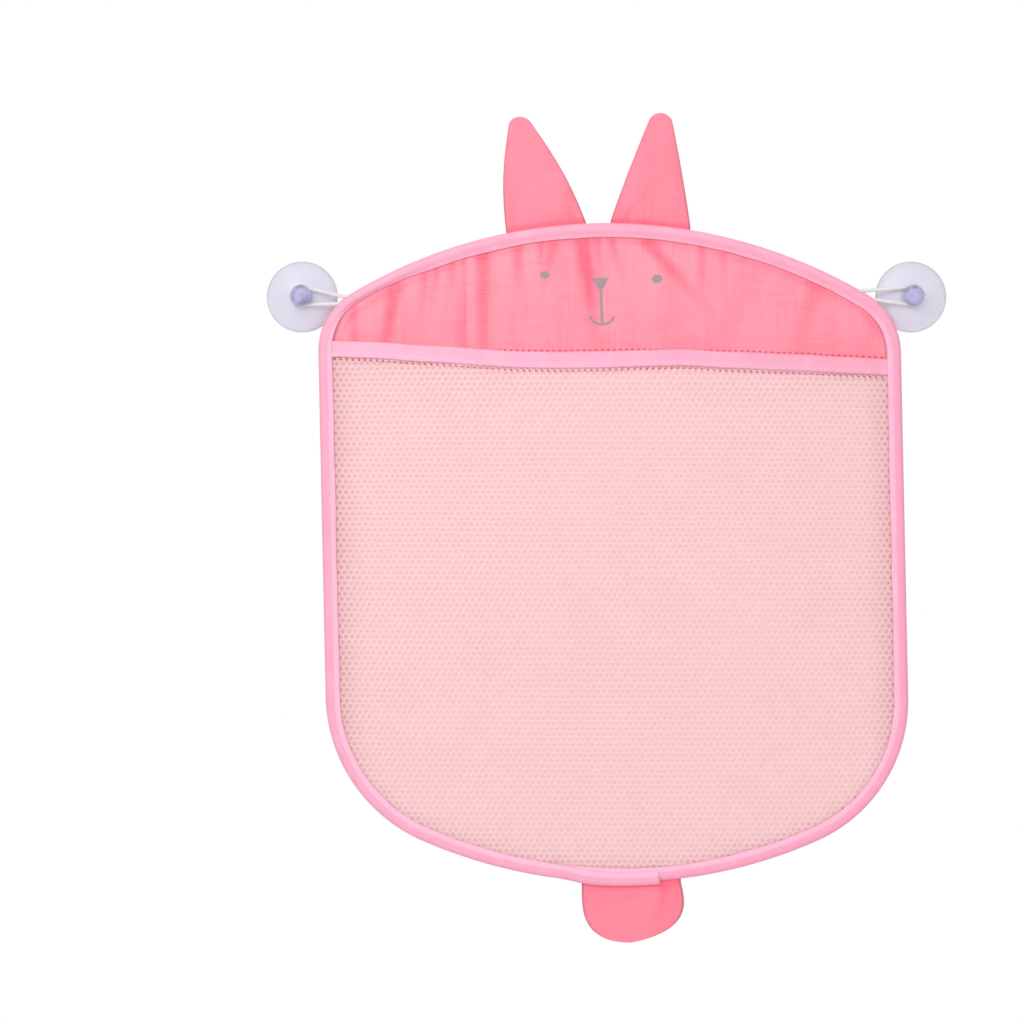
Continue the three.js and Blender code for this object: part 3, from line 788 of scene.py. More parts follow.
def woven_finish(name, base, printed=False):
    """Plain-woven cloth with uneven threads, darkened by painted shade in its folds and by painted light from the
    left; the face panel's carries the print.
    """
    finishes = settings().finishes
    weft_pitch = 0.62 * MM
    warp_pitch = 0.78 * MM
    finish = Finish(name)
    x, y, z = finish.place()
    slub = finish.noise((x * 60, y * 60, z * 900), 1.0, 3.0)
    warp = finish.noise((x * 700, y * 200, z * 30), 1.0, 2.0)
    cloud = finish.noise((x * 2.4, y, z * 0.7), 26.0, 3.0)
    shade = slub * 0.3 + warp * 0.25 + cloud * 0.45
    # Darker where the random tone dips, by the painted shade of the fold value, and towards the right: painted light
    # falling from the left.
    deep = shade.rise(0.62, 0.38) * 0.34 + finish.attribute("fold") * 0.85 + x * 0.9 - 0.04
    tint = finish.mix(deep.limit(), base, finishes.woven_painted_shade)
    if printed:
        ink = face_print(finish, x, z) * (shade.rise(0.3, 0.6) * 0.35 + 0.62)
        tint = finish.mix(ink, tint, finishes.print_grey)
    weave = z.wave(weft_pitch) * x.wave(warp_pitch) * 0.5 + slub
    return finish.surface({
        "Base Color": tint,
        "Roughness": shade * 0.2 + 0.68,
        "Normal": finish.bump(weave, 0.07 * MM, 0.6),
        "Sheen Weight": 0.18,
        "Sheen Roughness": 0.5,
        "Specular IOR Level": 0.22,
    })


def tape_finish(name, sides):
    """Ribbed tape, paler beyond its stitch line, with lilac flecks.

    sides is 1 for the tape that runs down the bag's sides, whose outer part darkens, inner part pales and stitch
    groove turns more lilac lower down, and whose painted light from the left is weaker, and otherwise 0.
    """
    finishes = settings().finishes
    rib_pitch = 0.9 * MM
    stitch_line = 0.66
    finish = Finish(name)
    along, across = finish.cut()
    x, y, z = finish.place()
    mottle = finish.noise((x, y, z), 95.0, 3.0)
    fleck = finish.noise((along * 260, across * 9, 0.0), 1.0, 3.0)
    streak = finish.noise((along * 900, across * 3, 0.0), 1.0, 2.0)
    leg = abs(across - 0.5) * 2
    low = z.rise(20 * MM, -50 * MM) * sides
    from_fold = leg + low * 0.1
    inner = from_fold.rise(stitch_line - 0.04, stitch_line + 0.08)
    pale = mottle * 0.8 + streak * 0.3 + inner * (low * 0.3 + 0.25) - 0.15
    # Paler to the left and darker to the right: painted light falling from the left. Lower down, the part outside the
    # stitch line turns darker.
    pale = pale - x * (1.8 - sides * 0.9) - (1 - inner) * low * 0.3
    tint = finish.mix(pale.limit(), finishes.tape, finishes.tape_pale)
    groove = (1 - (abs(from_fold - stitch_line) * 14).least(1.0)) * (low * 0.5 + 0.2)
    worn = (fleck.rise(0.52, 0.7) * 0.45 + groove).least(0.8)
    tint = finish.mix(worn, tint, finishes.tape_lilac)
    # Darker along the free edges: painted shade where the tape meets the cloth under it.
    tint = finish.mix(leg.rise(0.93, 1.0) * 0.2, tint, finishes.woven)
    rib = along.wave(rib_pitch) * 0.5 + (across * 150).sine() * 0.3
    return finish.surface({
        "Base Color": tint,
        "Roughness": mottle * 0.2 + 0.6,
        "Normal": finish.bump(rib + streak, 0.06 * MM, 0.6),
        "Sheen Weight": 0.15,
        "Sheen Roughness": 0.4,
        "Specular IOR Level": 0.3,
    })


def net_finish(name):
    """Knitted net yarn: pale on its crests, with painted shade beside its holes and where it is drawn tight, uneven in
    tone, and thin enough to pass light.
    """
    finishes = settings().finishes
    course = 0.5 * MM
    wale = 0.9 * MM
    finish = Finish(name)
    x, y, z = finish.place()
    rim = finish.attribute("rim")
    cloud = finish.noise((x, y, z), 40.0, 2.0)
    fibre = finish.noise((x * 1.6, y, z), 1900.0, 2.0)
    # Darker beside the holes, which is painted shade, and where the random tone dips.
    deep = rim * 0.75 + cloud * 0.5 + fibre * 0.3 - 0.3
    tint = finish.mix(deep.limit(), finishes.net, finishes.net_deep)
    # Painted shade round the holes where the net is drawn tight.
    tint = finish.mix(rim * finish.attribute("tight"), tint, finishes.net_shade)
    stitch = (z * (TURN / course) + x * (TURN / wale)).sine() * 0.4
    return finish.surface({
        "Base Color": tint,
        "Roughness": fibre * 0.2 + 0.65,
        "Normal": finish.bump(stitch + fibre, 0.08 * MM, 0.5),
        "Specular IOR Level": 0.2,
    }, through=0.28, glow=finishes.net)


def thread_finish(name, base):
    """Twisted sewing thread."""
    finish = Finish(name)
    x, _, z = finish.place()
    twist = (x + z).wave(0.45 * MM) * 0.5 + 0.5
    return finish.surface({
        "Base Color": finish.mix(twist * 0.35, base, dimmed(base, 0.8)),
        "Roughness": twist * 0.1 + 0.5,
        "Normal": finish.bump(twist, 0.05 * MM, 0.5),
        "Specular IOR Level": 0.35,
    })


def cord_finish(name):
    """Braided elastic cord: two sets of strands that cross round it, with painted shade in the gaps between them."""
    cord = settings().finishes.cord
    strand_length = 2.6 * MM
    strands = 3
    finish = Finish(name)
    along, around = finish.cut()
    lead = along * (TURN / strand_length)
    wind = around * (TURN * strands)
    crest = (abs((lead + wind).sine()) * abs((lead - wind).sine())).root()
    return finish.surface({
        # Darker in the gaps between strands: painted shade.
        "Base Color": finish.mix(crest.rise(0.05, 0.6), dimmed(cord, 0.42), cord),
        "Roughness": crest * -0.15 + 0.7,
        "Normal": finish.bump(crest, 0.22 * MM, 0.8),
        "Sheen Weight": 0.2,
    })


def cup_finish(name):
    """Clear soft vinyl: a pale disc, a faint darker rim, and a violet stud where the moulding is thick."""
    finishes = settings().finishes
    cups = settings().cups
    axis = settings().outline.width / 2 + cups.outreach
    edge = cups.diameter / 2
    dark = dimmed(finishes.stud, 0.62)
    finish = Finish(name)
    x, y, z = finish.place()
    away = ((abs(x) - axis) ** 2 + z**2).root()
    cloud = finish.noise((x, y, z), 160.0, 3.0)
    fine = finish.noise((x, y, z), 900.0, 2.0)
    stud = (away + cloud * 1.6 * MM).rise(cups.boss + 3.2 * MM, cups.boss + 0.4 * MM)
    rim = away.rise(edge - 1.7 * MM, edge - 0.2 * MM)
    head = y.rise(-cups.height, -cups.neck_base)
    violet = finish.mix(cloud.rise(0.55, 0.35) * head, finishes.stud, dark)
    tint = finish.mix(stud, finishes.cup, violet)
    return finish.surface({
        "Base Color": finish.mix(rim * 0.25, tint, dark),
        "Roughness": cloud * 0.2 + 0.25,
        "Normal": finish.bump(fine, 0.03 * MM, 0.35),
        "Transmission Weight": 0.3,
        "IOR": 1.4,
        "Coat Weight": 0.1,
        "Coat Roughness": 0.2,
    })


def floor_finish(name):
    """Pale matt floor."""
    finish = Finish(name)
    cloud = finish.noise(finish.place(), 6.0, 2.0)
    tint = finish.mix(cloud, (0.86, 0.86, 0.87), (0.9, 0.9, 0.9))
    return finish.surface({"Base Color": tint, "Roughness": cloud * 0.1 + 0.75})


# Gathers under the crown tape: place, half width, height and reach in millimetres, and drift with depth
GATHERS = (
    (-143.4, 3.5, 0.9, 30, 0.05),
    (-120, 5, 1.6, 45, -0.2),
    (-103, 3, 0.9, 18, -0.1),
    (-96.5, 2.5, 0.8, 12, -0.1),
    (-87.5, 2.5, 0.6, 8, 0),
    (-70, 5, 1.3, 70, -0.03),
    (-50, 3.5, 1.1, 17, 0),
    (-37.6, 3, 0.9, 9, 0),
    (-30.3, 3.5, 1, 18, -0.25),
    (-13.8, 5, 1.7, 45, 0.12),
    (-5.6, 2.5, 0.8, 9, 0),
    (3, 3, 0.9, 12, 0.3),
    (23.5, 6, 1.4, 22, 1),
    (52.8, 3, 1, 20, 0),
    (65, 3, 0.7, 10, 0),
    (116.7, 6, 0.7, 30, -0.3),
)
CREASE_X = -80 * MM
CREASE_WIDTH = 2.6 * MM
CREASE_HEIGHT = 0.7 * MM
FOLD_FADE = 6 * MM
PANEL_THICKNESS = 0.4 * MM


def panel_low(bag, x):
    """Lower edge of the face panel, behind the mouth band."""
    return min(bag.pocket.panel_edge, bag.band_top(x) - 1.3 * MM)


def face_folds(bag, x, z):
    """How far the face panel's gathers and its one pressed crease stand out, and how much painted shade the panel's
    colour takes there.
    """
    flat_edge = bag.pocket.flat_edge
    if abs(x) >= bag.half - flat_edge:
        return 0.0, 0.0
    below = bag.upper(x, flat_edge) - z
    above = z - bag.pocket.panel_edge
    sunk = max(0, below)
    from_crease = (x - CREASE_X) / CREASE_WIDTH
    height = CREASE_HEIGHT * bell(from_crease - 1, 0.9)
    # Painted into the colour: a dark line and painted shade on one side of the crease, and a painted highlight on the
    # other.
    line = 0.5 * bell(from_crease + 0.3, 0.5)
    shade = 0.35 * bell(from_crease + 1.5, 1.3) * ease(below, 0, 30 * MM)
    light = 0.4 * bell(from_crease - 1.2, 0.9)
    deep = line + shade - light
    for place, width, tall, reach, slope in GATHERS:
        part = (x - place * MM - slope * sunk) / (width * MM)
        fade = tall * bell(sunk, reach * MM)
        ridges = bell(part - 1.15, 0.9) + 0.6 * bell(part + 1.4, 1.1) - 0.12 * bell(part, 0.7)
        height += MM * fade * ridges
        # Painted shade in each gather.
        deep += 0.7 * fade * bell(part, 0.85)
    height += 0.3 * MM * drift(x, 0, z * 0.22, 9 * MM) * bell(sunk, 35 * MM)
    height += 0.35 * MM * drift(x, 1, z, 35 * MM)
    free = limit(below / FOLD_FADE) * limit(above / FOLD_FADE)
    # Painted shadow just under the crown tape.
    shadow = 0.3 * bell(below + 2.2 * MM, 2 * MM)
    return max(-0.15 * MM, free * height), deep + shadow


def face_panel(bag):
    """The woven panel across the top of the bag."""
    finishes = settings().finishes
    reach = bag.half - PANEL_INSET

    def spot(u, v):
        """Place across the bag and height; the points stand closer towards the sides."""
        share = 2 * u - 1
        x = reach * share * (1.4 - 0.4 * share**2)
        low = panel_low(bag, x)
        return x, low + (bag.upper(x, PANEL_INSET) - low) * v

    def place(u, v):
        x, z = spot(u, v)
        return Vector((bag.askew(x, z), FACE_Y - face_folds(bag, x, z)[0], z))

    # Painted shade of the folds at each point of the panel.
    def depth(u, v):
        return face_folds(bag, *spot(u, v))[1]

    finish = woven_finish("printed_cloth", finishes.face, printed=True)
    made = piece("face_cloth", cloth(400, 56, place, depth=depth), finish)
    thicken(made, PANEL_THICKNESS, woven_finish("plain_cloth", finishes.face))
    area = bag.cut_area(lambda x: bag.upper(x, PANEL_INSET), lambda x: panel_low(bag, x))
    height = bag.crown - bag.pocket.panel_edge
    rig.sheet(made, flat=(2 * reach, height), held="gathered", rests_on=["perimeter_tape"], area=area)
    return made, panel_seam(bag)


def panel_seam(bag):
    """The row of stitches that joins the face panel to the back net.

    It shows over the mouth band left of the middle and on the right, and lies behind the band elsewhere.
    """
    reach = bag.half - settings().tape.width - 0.5 * MM

    def seam(run):
        x = run - reach
        shown = max(ease(x, 50 * MM, 80 * MM), bell(x + 15 * MM, 38 * MM))
        z = panel_low(bag, x) + (1.5 + 0.7 * shown) * MM + 0.06 * bag.bulge(x, bag.mouth_top(x))
        return Vector((bag.askew(x, z), FACE_Y - 0.3 * MM - max(0, face_folds(bag, x, z)[0]), z))

    # Dark thread whose colour is painted shade in the holes along the seam.
    finish = thread_finish("panel_thread", settings().finishes.panel_thread)
    return stitches("panel_stitches", finish, [seam], 0, 2 * reach, coarse=2.0)


def repeat(shape, step, count):
    """Repeats a shape along a step until there are at least this many, by doubling it."""
    copies = 1
    while copies < count:
        made = bmesh.ops.duplicate(shape, geom=shape.verts[:] + shape.edges[:] + shape.faces[:])
        moved = [item for item in made["geom"] if isinstance(item, bmesh.types.BMVert)]
        bmesh.ops.translate(shape, verts=moved, vec=step * copies)
        copies *= 2


# How the nets' holes slant, how far their yarn wanders and how high its crest stands
HOLE_SLANT = 0.5
YARN_WANDER = 0.22 * MM
YARN_CREST = 0.22 * MM


def net(bag, name, yarn, shift, top, layer, lift, drawn):
    """A net of six-sided holes below an upper edge, moved along itself by a shift and laid on a layer.

    lift raises the yarn's crest towards the side that shows. drawn gives how tight the net is pulled beside
    its seams, where its holes close and where its finish paints shade round them.
    """
    pocket = bag.pocket
    shape = bmesh.new()
    rim = shape.verts.layers.float.new("rim")
    tight = shape.verts.layers.float.new("tight")
    from_hole = shape.verts.layers.float_vector.new("from_hole")
    bmesh.ops.create_circle(shape, cap_ends=True, segments=6, radius=1)
    stretch = (pocket.pitch / math.sqrt(3), pocket.row / 1.5, 1)
    bmesh.ops.scale(shape, verts=shape.verts, vec=stretch)
    hole = shape.faces[:]
    bmesh.ops.inset_region(
        shape, faces=hole, thickness=yarn / 2, use_boundary=True, use_even_offset=True
    )
    for vert in hole[0].verts:
        vert[rim] = 1
        vert.co.x += HOLE_SLANT * vert.co.y
        vert[from_hole] = vert.co
    bmesh.ops.delete(shape, geom=hole, context="FACES_ONLY")
    reach = bag.half + 2 * pocket.pitch
    repeat(shape, Vector((pocket.pitch / 2, pocket.row, 0)), 2)
    repeat(shape, Vector((pocket.pitch, 0, 0)), 2 * reach / pocket.pitch)
    repeat(shape, Vector((0, 2 * pocket.row, 0)), reach / pocket.row)
    middle = (pocket.mouth + bag.lower(0)) / 2
    bmesh.ops.translate(shape, verts=shape.verts, vec=(shift[0] - reach, middle + shift[1] - reach, 0))
    outside = []
    for face in shape.faces:
        x, z, _ = face.calc_center_median()
        if abs(x) > bag.half - NET_INSET or z > top(x):
            outside.append(face)
        elif not bag.lower(x, NET_INSET) < z < bag.upper(x, NET_INSET):
            outside.append(face)
    bmesh.ops.delete(shape, geom=outside, context="FACES")
    bmesh.ops.remove_doubles(shape, verts=shape.verts, dist=0.02 * MM)
    for vert in shape.verts:
        x, z = vert.co.x, vert.co.y
        # How tight the net is drawn here: it closes the holes, and the finish paints shade round them by it.
        vert[tight] = drawn(x, z)
        x += YARN_WANDER * drift(x, 2, z, 5 * MM) - vert[tight] * vert[from_hole].x
        z += YARN_WANDER * drift(x, 7, z, 5 * MM) - vert[tight] * vert[from_hole].y
        crest = lift * (1 - vert[rim])
        vert.co = (bag.askew(x, z), layer(x, z) + crest, z)
    shape.verts.layers.float_vector.remove(from_hole)
    bmesh.ops.recalc_face_normals(shape, faces=shape.faces)
    return piece(name, shape, net_finish(name + "_yarn"))


def net_area(bag, top):
    """Cut area of a net below an upper edge."""
    return bag.cut_area(lambda x: min(top(x), bag.upper(x, NET_INSET)), lambda x: bag.lower(x, NET_INSET))


def beside_tape(bag, x, z):
    """How tight a net is pulled, which closes its holes and sets the painted shade round them: most beside the side
    tapes, and a little over the bottom tape.
    """
    margin = bag.pocket.flat_edge / 2
    side = bell(max(0, bag.half - abs(x) - margin), 10 * MM)
    bottom = bell(max(0, z - bag.lower(x) - margin), 7 * MM)
    return max(side, 0.4 * bottom)


def back_net(bag):
    """The flat net behind the pocket; it laps behind the face panel."""
    pocket = bag.pocket
    lapped = pocket.panel_edge + pocket.lap
    shift = (0.06 * pocket.pitch, 0.8 * pocket.row)

    def top(x):
        return lapped

    def layer(x, z):
        return BACK_NET_Y + 0.12 * MM * drift(x, 3, z, 20 * MM)

    def drawn(x, z):
        return 0.8 * beside_tape(bag, x, z)

    made = net(bag, "back_net", pocket.back_yarn, shift, top, layer, YARN_CREST, drawn)
    area = net_area(bag, top)
    flat = (2 * bag.half, lapped - bag.lower(0))
    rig.sheet(made, flat=flat, held="stretched", rests_on=["perimeter_tape"], area=area)
    return made


def pocket_net(bag):
    """The fuller net in front: it gapes at the mouth and lies flat where the tape grips it."""
    pocket = bag.pocket

    def top(x):
        return bag.band_top(x) - 1.2 * MM

    def layer(x, z):
        stand = bag.bulge(x, z)
        slack = min(1, stand / (4 * MM)) * 0.5 * MM * drift(x, 5, z, 45 * MM)
        return POCKET_Y - stand - slack

    def drawn(x, z):
        below = bag.band_top(x) - pocket.band - z
        # Under the mouth band too the holes close and the finish paints shade round them.
        return max(0.85 * beside_tape(bag, x, z), 0.8 * bell(below, 3 * MM))

    made = net(bag, "pocket_net", pocket.yarn, (0, 0), top, layer, -YARN_CREST, drawn)
    area = net_area(bag, bag.mouth_top)
    flat = (2 * bag.half, pocket.mouth + 6 * MM - bag.lower(0))
    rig.sheet(made, flat=flat, held="hung", rests_on=["perimeter_tape", "mouth_tape"], area=area)
    return made


def stitches(name, finish, paths, start, end, coarse=1.0):
    """Rows of stitches along paths given by distance; coarse ones are thicker and shorter."""
    tape = settings().tape
    count = int((end - start) / (tape.stitch + tape.stitch_gap))
    step = (end - start) / count
    thread = tape.thread * coarse
    shape = bmesh.new()
    for path in paths:
        for index in range(count):
            first = path(start + index * step)
            last = path(start + index * step + tape.stitch / coarse**0.5)
            way = last - first
            turn = way.to_track_quat("X", "Z").to_matrix().to_4x4()
            size = Matrix.Diagonal((way.length / 2, thread / 2, thread / 2, 1))
            place = Matrix.Translation((first + last) / 2) @ turn @ size
            bmesh.ops.create_icosphere(shape, subdivisions=1, radius=1, matrix=place)
    return piece(name, shape, finish)


def tape_section(share, width, half_depth, fold):
    """Place on a folded tape's section: inwards from its fold, and from its middle layer to the back."""
    leg = 0.41
    if share < leg:
        return width + (fold - width) * share / leg, half_depth
    if share > 1 - leg:
        return width + (fold - width) * (1 - share) / leg, -half_depth
    turn = math.pi * ((share - leg) / (1 - 2 * leg) - 0.5)
    return fold * (1 - math.cos(turn)), -half_depth * math.sin(turn)


# The perimeter tape: depth of its fold, its seam's distance from its edge, and the lap of its end
TAPE_FOLD = 2.1 * MM
TAPE_SEAM = 1.9 * MM
LAP_UNDER = 20 * MM
LAP_HANG = 2.2 * MM
LAP_RISE = 1.05

# Where the tape is drawn narrower round the left shoulder: its place, how far and over what reach
NARROW_X = -138 * MM
NARROW_Z = 1 * MM
NARROW = 2.4 * MM
NARROW_REACH = 33 * MM


def perimeter_tape(bag):
    """The tape folded round the whole bag, its cut end lapped over its beginning at the bottom."""
    tape = settings().tape
    front = TAPE_FRONT + tape.thickness
    middle = (TAPE_BACK + front) / 2
    half_depth = (TAPE_BACK - front - tape.thickness) / 2
    start = bag.bottom_distance(tape.lap_centre - tape.lap_length / 2 - LAP_UNDER)
    total = bag.edge_length + tape.lap_length + LAP_UNDER
    stitch_in = tape.width - TAPE_SEAM

    def lapped(run):
        """How far the end of the tape has come over its beginning, and how far it has slipped down."""
        over = ease(run, bag.edge_length - 9 * MM, bag.edge_length - 1 * MM)
        return over, ease(run, bag.edge_length, bag.edge_length + 24 * MM)

    def narrowed(inwards, run):
        """How far the inner edge is drawn back where the tape is stretched round the left shoulder."""
        x, z = bag.edge(start - run)[:2]
        away = math.hypot(x - NARROW_X, z - NARROW_Z)
        return NARROW * bell(away, NARROW_REACH) * ease(inwards, 3 * MM, tape.width)

    def press(inwards, run, facing):
        """How far a leg is pressed in: unevenly, most at its edge, and onto the panel at the crown."""
        tight = ease(inwards, 2.4 * MM, tape.width)
        hem = 0.45 * ease(inwards, tape.width - 1.6 * MM, tape.width - 0.5 * MM)
        alone = ease(bag.edge(start - run)[1], -18 * MM, 0)
        sink = 0.55 + alone * (1.55 if facing < 0 else 0.35) + 0.25 * drift(run, 11, 0, 4 * MM)
        return MM * (sink * tight + hem + 0.2 * bell(inwards - stitch_in, 0.8 * MM))

    def place(u, v):
        run = u * total
        inwards, side = tape_section(v, tape.width - tape.thickness / 2, half_depth, TAPE_FOLD)
        edge = ease(inwards, 4 * MM, tape.width)
        shift = tape.ripple * drift(run, 12 + round(v), 0, 16 * MM) * edge
        facing = math.copysign(1, side)
        flat = min(1, abs(side) / half_depth)
        depth = side - facing * min(abs(side), press(inwards, run, facing) * flat)
        over, slip = lapped(run)
        inwards += tape.thickness / 2 + shift - slip * LAP_HANG - narrowed(inwards, run)
        y = middle + depth + facing * over * tape.thickness * LAP_RISE * flat
        return bag.along_edge(start - run, inwards, y)

    def seam(facing):
        def path(run):
            over, slip = lapped(run)
            leg = half_depth - press(stitch_in, run, facing) + tape.thickness / 2
            stand = leg + over * tape.thickness * LAP_RISE - 0.02 * MM
            inwards = stitch_in + tape.thickness / 2 - slip * LAP_HANG - narrowed(stitch_in, run)
            return bag.along_edge(start - run, inwards, middle + facing * stand)

        return path

    columns = int(total * settings().detail)
    made = piece("perimeter_tape", cloth(columns, 22, place, (total, 1)), tape_finish("edge_tape", 1.0))
    thicken(made, tape.thickness)
    finish = thread_finish("edge_thread", settings().finishes.thread)
    sewn = stitches("tape_stitches", finish, [seam(-1), seam(1)], 0.5 * MM, total - 1.5 * MM)
    return made, sewn


# The mouth tape: its thickness, depth of its fold, and where its seam and its catches start and lie
BAND_THICKNESS = 0.4 * MM
BAND_FOLD = 0.9 * MM
BAND_SEAM = 1.5 * MM
BAND_END = 7 * MM
CATCH_DROP = 1.3 * MM


def mouth_tape(bag):
    """The thinner tape over the pocket's mouth, its seam, and the thread that catches the net below."""
    finishes = settings().finishes
    band = bag.pocket.band
    reach = bag.half - 3 * MM
    half_depth = BAND_BACK - POCKET_Y - BAND_THICKNESS / 2

    def at(x, down, side):
        z = bag.band_top(x) - down
        y = POCKET_Y - bag.bulge(x, min(z, bag.mouth_top(x)))
        return Vector((bag.askew(x, z), y + side, z))

    def place(u, v):
        x = -reach * math.cos(math.pi * u)
        down, side = tape_section(v, band - BAND_THICKNESS / 2, half_depth, BAND_FOLD)
        side += 0.18 * MM * drift(x, 22, down, 5 * MM) * min(1, down / (3 * MM))
        return at(x, down + BAND_THICKNESS / 2, side)

    def seam(facing):
        def path(run):
            return at(run - reach, band - BAND_SEAM, facing * (half_depth + BAND_THICKNESS / 2))

        return path

    def caught(run):
        return at(run - reach, band + CATCH_DROP, -HALF_PLY)

    made = piece("mouth_tape", cloth(320, 16, place, (2 * reach, 1)), tape_finish("mouth_ribbon", 0.0))
    thicken(made, BAND_THICKNESS)
    finish = thread_finish("mouth_thread", finishes.thread)
    sewn = stitches("mouth_stitches", finish, [seam(-1), seam(1)], BAND_END, 2 * reach - BAND_END)
    catch_end = settings().tape.width - 2.5 * MM
    # Dark stitches whose colour is painted shade of the holes under the band.
    finish = thread_finish("catch_thread", finishes.catch_thread)
    catches = stitches("mouth_catches", finish, [caught], catch_end, 2 * reach - catch_end, coarse=3.0)
    return made, sewn, catches


# Flaps: radius and gap of the base seam, how far up they follow the bag's edge, where their bend starts
# in the tape and the share of them that bends, and how near the plies close at the tip
SEAM_RADIUS = 0.75 * MM
SEAM_GAP = 0.3 * MM
BASE_FADE = 12 * MM
FLAP_ROOT = 0.8 * MM
FLAP_BEND = 0.17
FLAP_CLOSING = 0.9995

# Sides of the tail: share of its half width, and the two powers that round it off; one side also flares
TAIL_FULL_SIDE = (0.955, 3.2, 0.45)
TAIL_SLANT_SIDE = (0.965, 4, 0.8)
TAIL_FLARE = 0.075
TAIL_FLARE_END = 0.42


class FlapForm:
    """A soft flap on the bag's edge: its seat, its turn along the edge, its slant and its half width."""

    def __init__(self, seat, turn, lean, height, puff, edge_radius, half_at):
        self.seat = seat
        self.turn = turn
        self.slant = math.tan(lean - turn)
        self.height = height
        self.puff = puff
        self.edge_radius = edge_radius
        self.half_at = half_at

    def at(self, along, share, stand):
        """A point of the flap: along it, across it from -1 to 1, and standing out towards the back."""
        across = self.half_at(max(0, along), share) * share
        x = across + along * self.slant
        z = along - max(0, 1 - along / BASE_FADE) * across**2 / (2 * self.edge_radius)
        turned_x = x * math.cos(self.turn) + z * math.sin(self.turn)
        turned_z = z * math.cos(self.turn) - x * math.sin(self.turn)
        return self.seat + Vector((turned_x, stand, turned_z))


def ear_form(bag, place, lean, bow):
    """An ear: slightly bowed edges that run into a round tip."""
    sizes = settings().flaps
    tip = sizes.ear_tip
    centre = sizes.ear_height - tip
    half = sizes.ear_base / 2
    slant = math.acos(tip / math.hypot(half, centre)) - math.atan2(centre, half)
    join = centre + tip * math.sin(slant)

    def half_at(along, share):
        if along <= join:
            return half - along * math.tan(slant) + bow * math.sin(math.pi * along / join)
        return math.sqrt(max(0, tip**2 - (along - centre) ** 2))

    z = bag.upper(place, -SEAM_RADIUS - SEAM_GAP)
    seat = Vector((bag.askew(place, z), JOINTS["left_ear_fold"]["pos_m"][1], z))
    turn = math.asin(place / bag.crown_radius)
    return FlapForm(seat, turn, lean, sizes.ear_height, sizes.ear_puff, bag.crown_radius, half_at)


def tail_form(bag):
    """The tail: one full side, and one that flares below its seam and is then cut away at a slant."""
    sizes = settings().flaps
    half = sizes.tail_width / 2

    def half_at(along, share):
        down = min(1, along / sizes.tail_length)
        width, power, rounding = TAIL_FULL_SIDE if share > 0 else TAIL_SLANT_SIDE
        if share <= 0:
            width += TAIL_FLARE * math.sin(min(1, down / TAIL_FLARE_END) * math.pi / 2)
        return width * half * (1 - down**power) ** rounding

    place = sizes.tail_place
    edge_radius = bag.bottom_radius
    z = bag.lower(place, -SEAM_RADIUS - SEAM_GAP - settings().tape.thickness)
    seat = Vector((bag.askew(place, z), JOINTS["tail_fold"]["pos_m"][1], z))
    turn = math.pi - math.asin(place / edge_radius)
    return FlapForm(seat, turn, sizes.tail_lean, sizes.tail_length, sizes.tail_puff, edge_radius, half_at)


def flap(name, form, seed, crease, base):
    """A flap of two plies, turned out: a soft dome on each side, pressed at its base and along its edge.

    crease gives one slanting line of painted shade on the front ply, for a crease: where it starts across the base,
    and its lean.
    """
    tuck = settings().flaps.tuck

    def spot(u, v):
        """Along the flap, across it from -1 to 1, and the side that it faces."""
        along = -tuck + (form.height * FLAP_CLOSING + tuck) * (1 - (1 - u) ** 1.7)
        if v < 0.5:
            return along, -1 + 4 * v, -1
        return along, 3 - 4 * v, 1

    def place(u, v):
        along, share, facing = spot(u, v)
        up = limit(along / form.height)
        across = form.half_at(max(0, along), share) * share
        rim = max(0, 1 - share**2)
        crown = math.sin(math.pi * up**0.75) * rim**0.62
        stand = form.puff * crown + 0.3 * MM * min(1, rim * 6)
        slack = drift(across, seed, along, 15 * MM) * 0.25
        slack += drift(across, seed + 3, along * 0.4, 6 * MM) * 0.1
        gather = 0.35 * math.sin(across / (2.3 * MM) + seed) * bell(along, 9 * MM)
        stand += MM * (slack + gather) * min(1, rim * 2) * ease(along, 0, 3 * MM)
        return form.at(along, share, facing * max(0.05 * MM * min(1, rim * 20), stand))

    # Painted shade for the finish: along the base seam, along the turned edge, and on the front ply along the crease.
    def depth(u, v):
        along, share, facing = spot(u, v)
        half = form.half_at(max(0, along), share)
        seam = 0.75 * bell(max(0, along - 0.6 * MM), 1.2 * MM) + 0.2 * bell(along, 10 * MM)
        edge = 0.4 * bell((1 - abs(share)) * half, 1.1 * MM)
        if facing > 0:
            return seam + edge
        from_crease = half * share - crease[0] - crease[1] * along
        return seam + edge + 0.4 * bell(from_crease, 2.6 * MM) * ease(along, 30 * MM, 5 * MM)

    shape = cloth(44, 56, place, (form.height, 1), closed=True, depth=depth)
    return piece(name, shape, woven_finish(name + "_cloth", base))


# A loop's turn round the neck, the stubs of its ends inside the tape, the step of its route, and how far
# its bend reaches to each side of its fold
NECK_STEPS = 20
CORD_STUB = 6 * MM
CORD_STEP = 1.2 * MM
CORD_BEND_IN = 1.5 * MM
CORD_BEND_OUT = 2.5 * MM


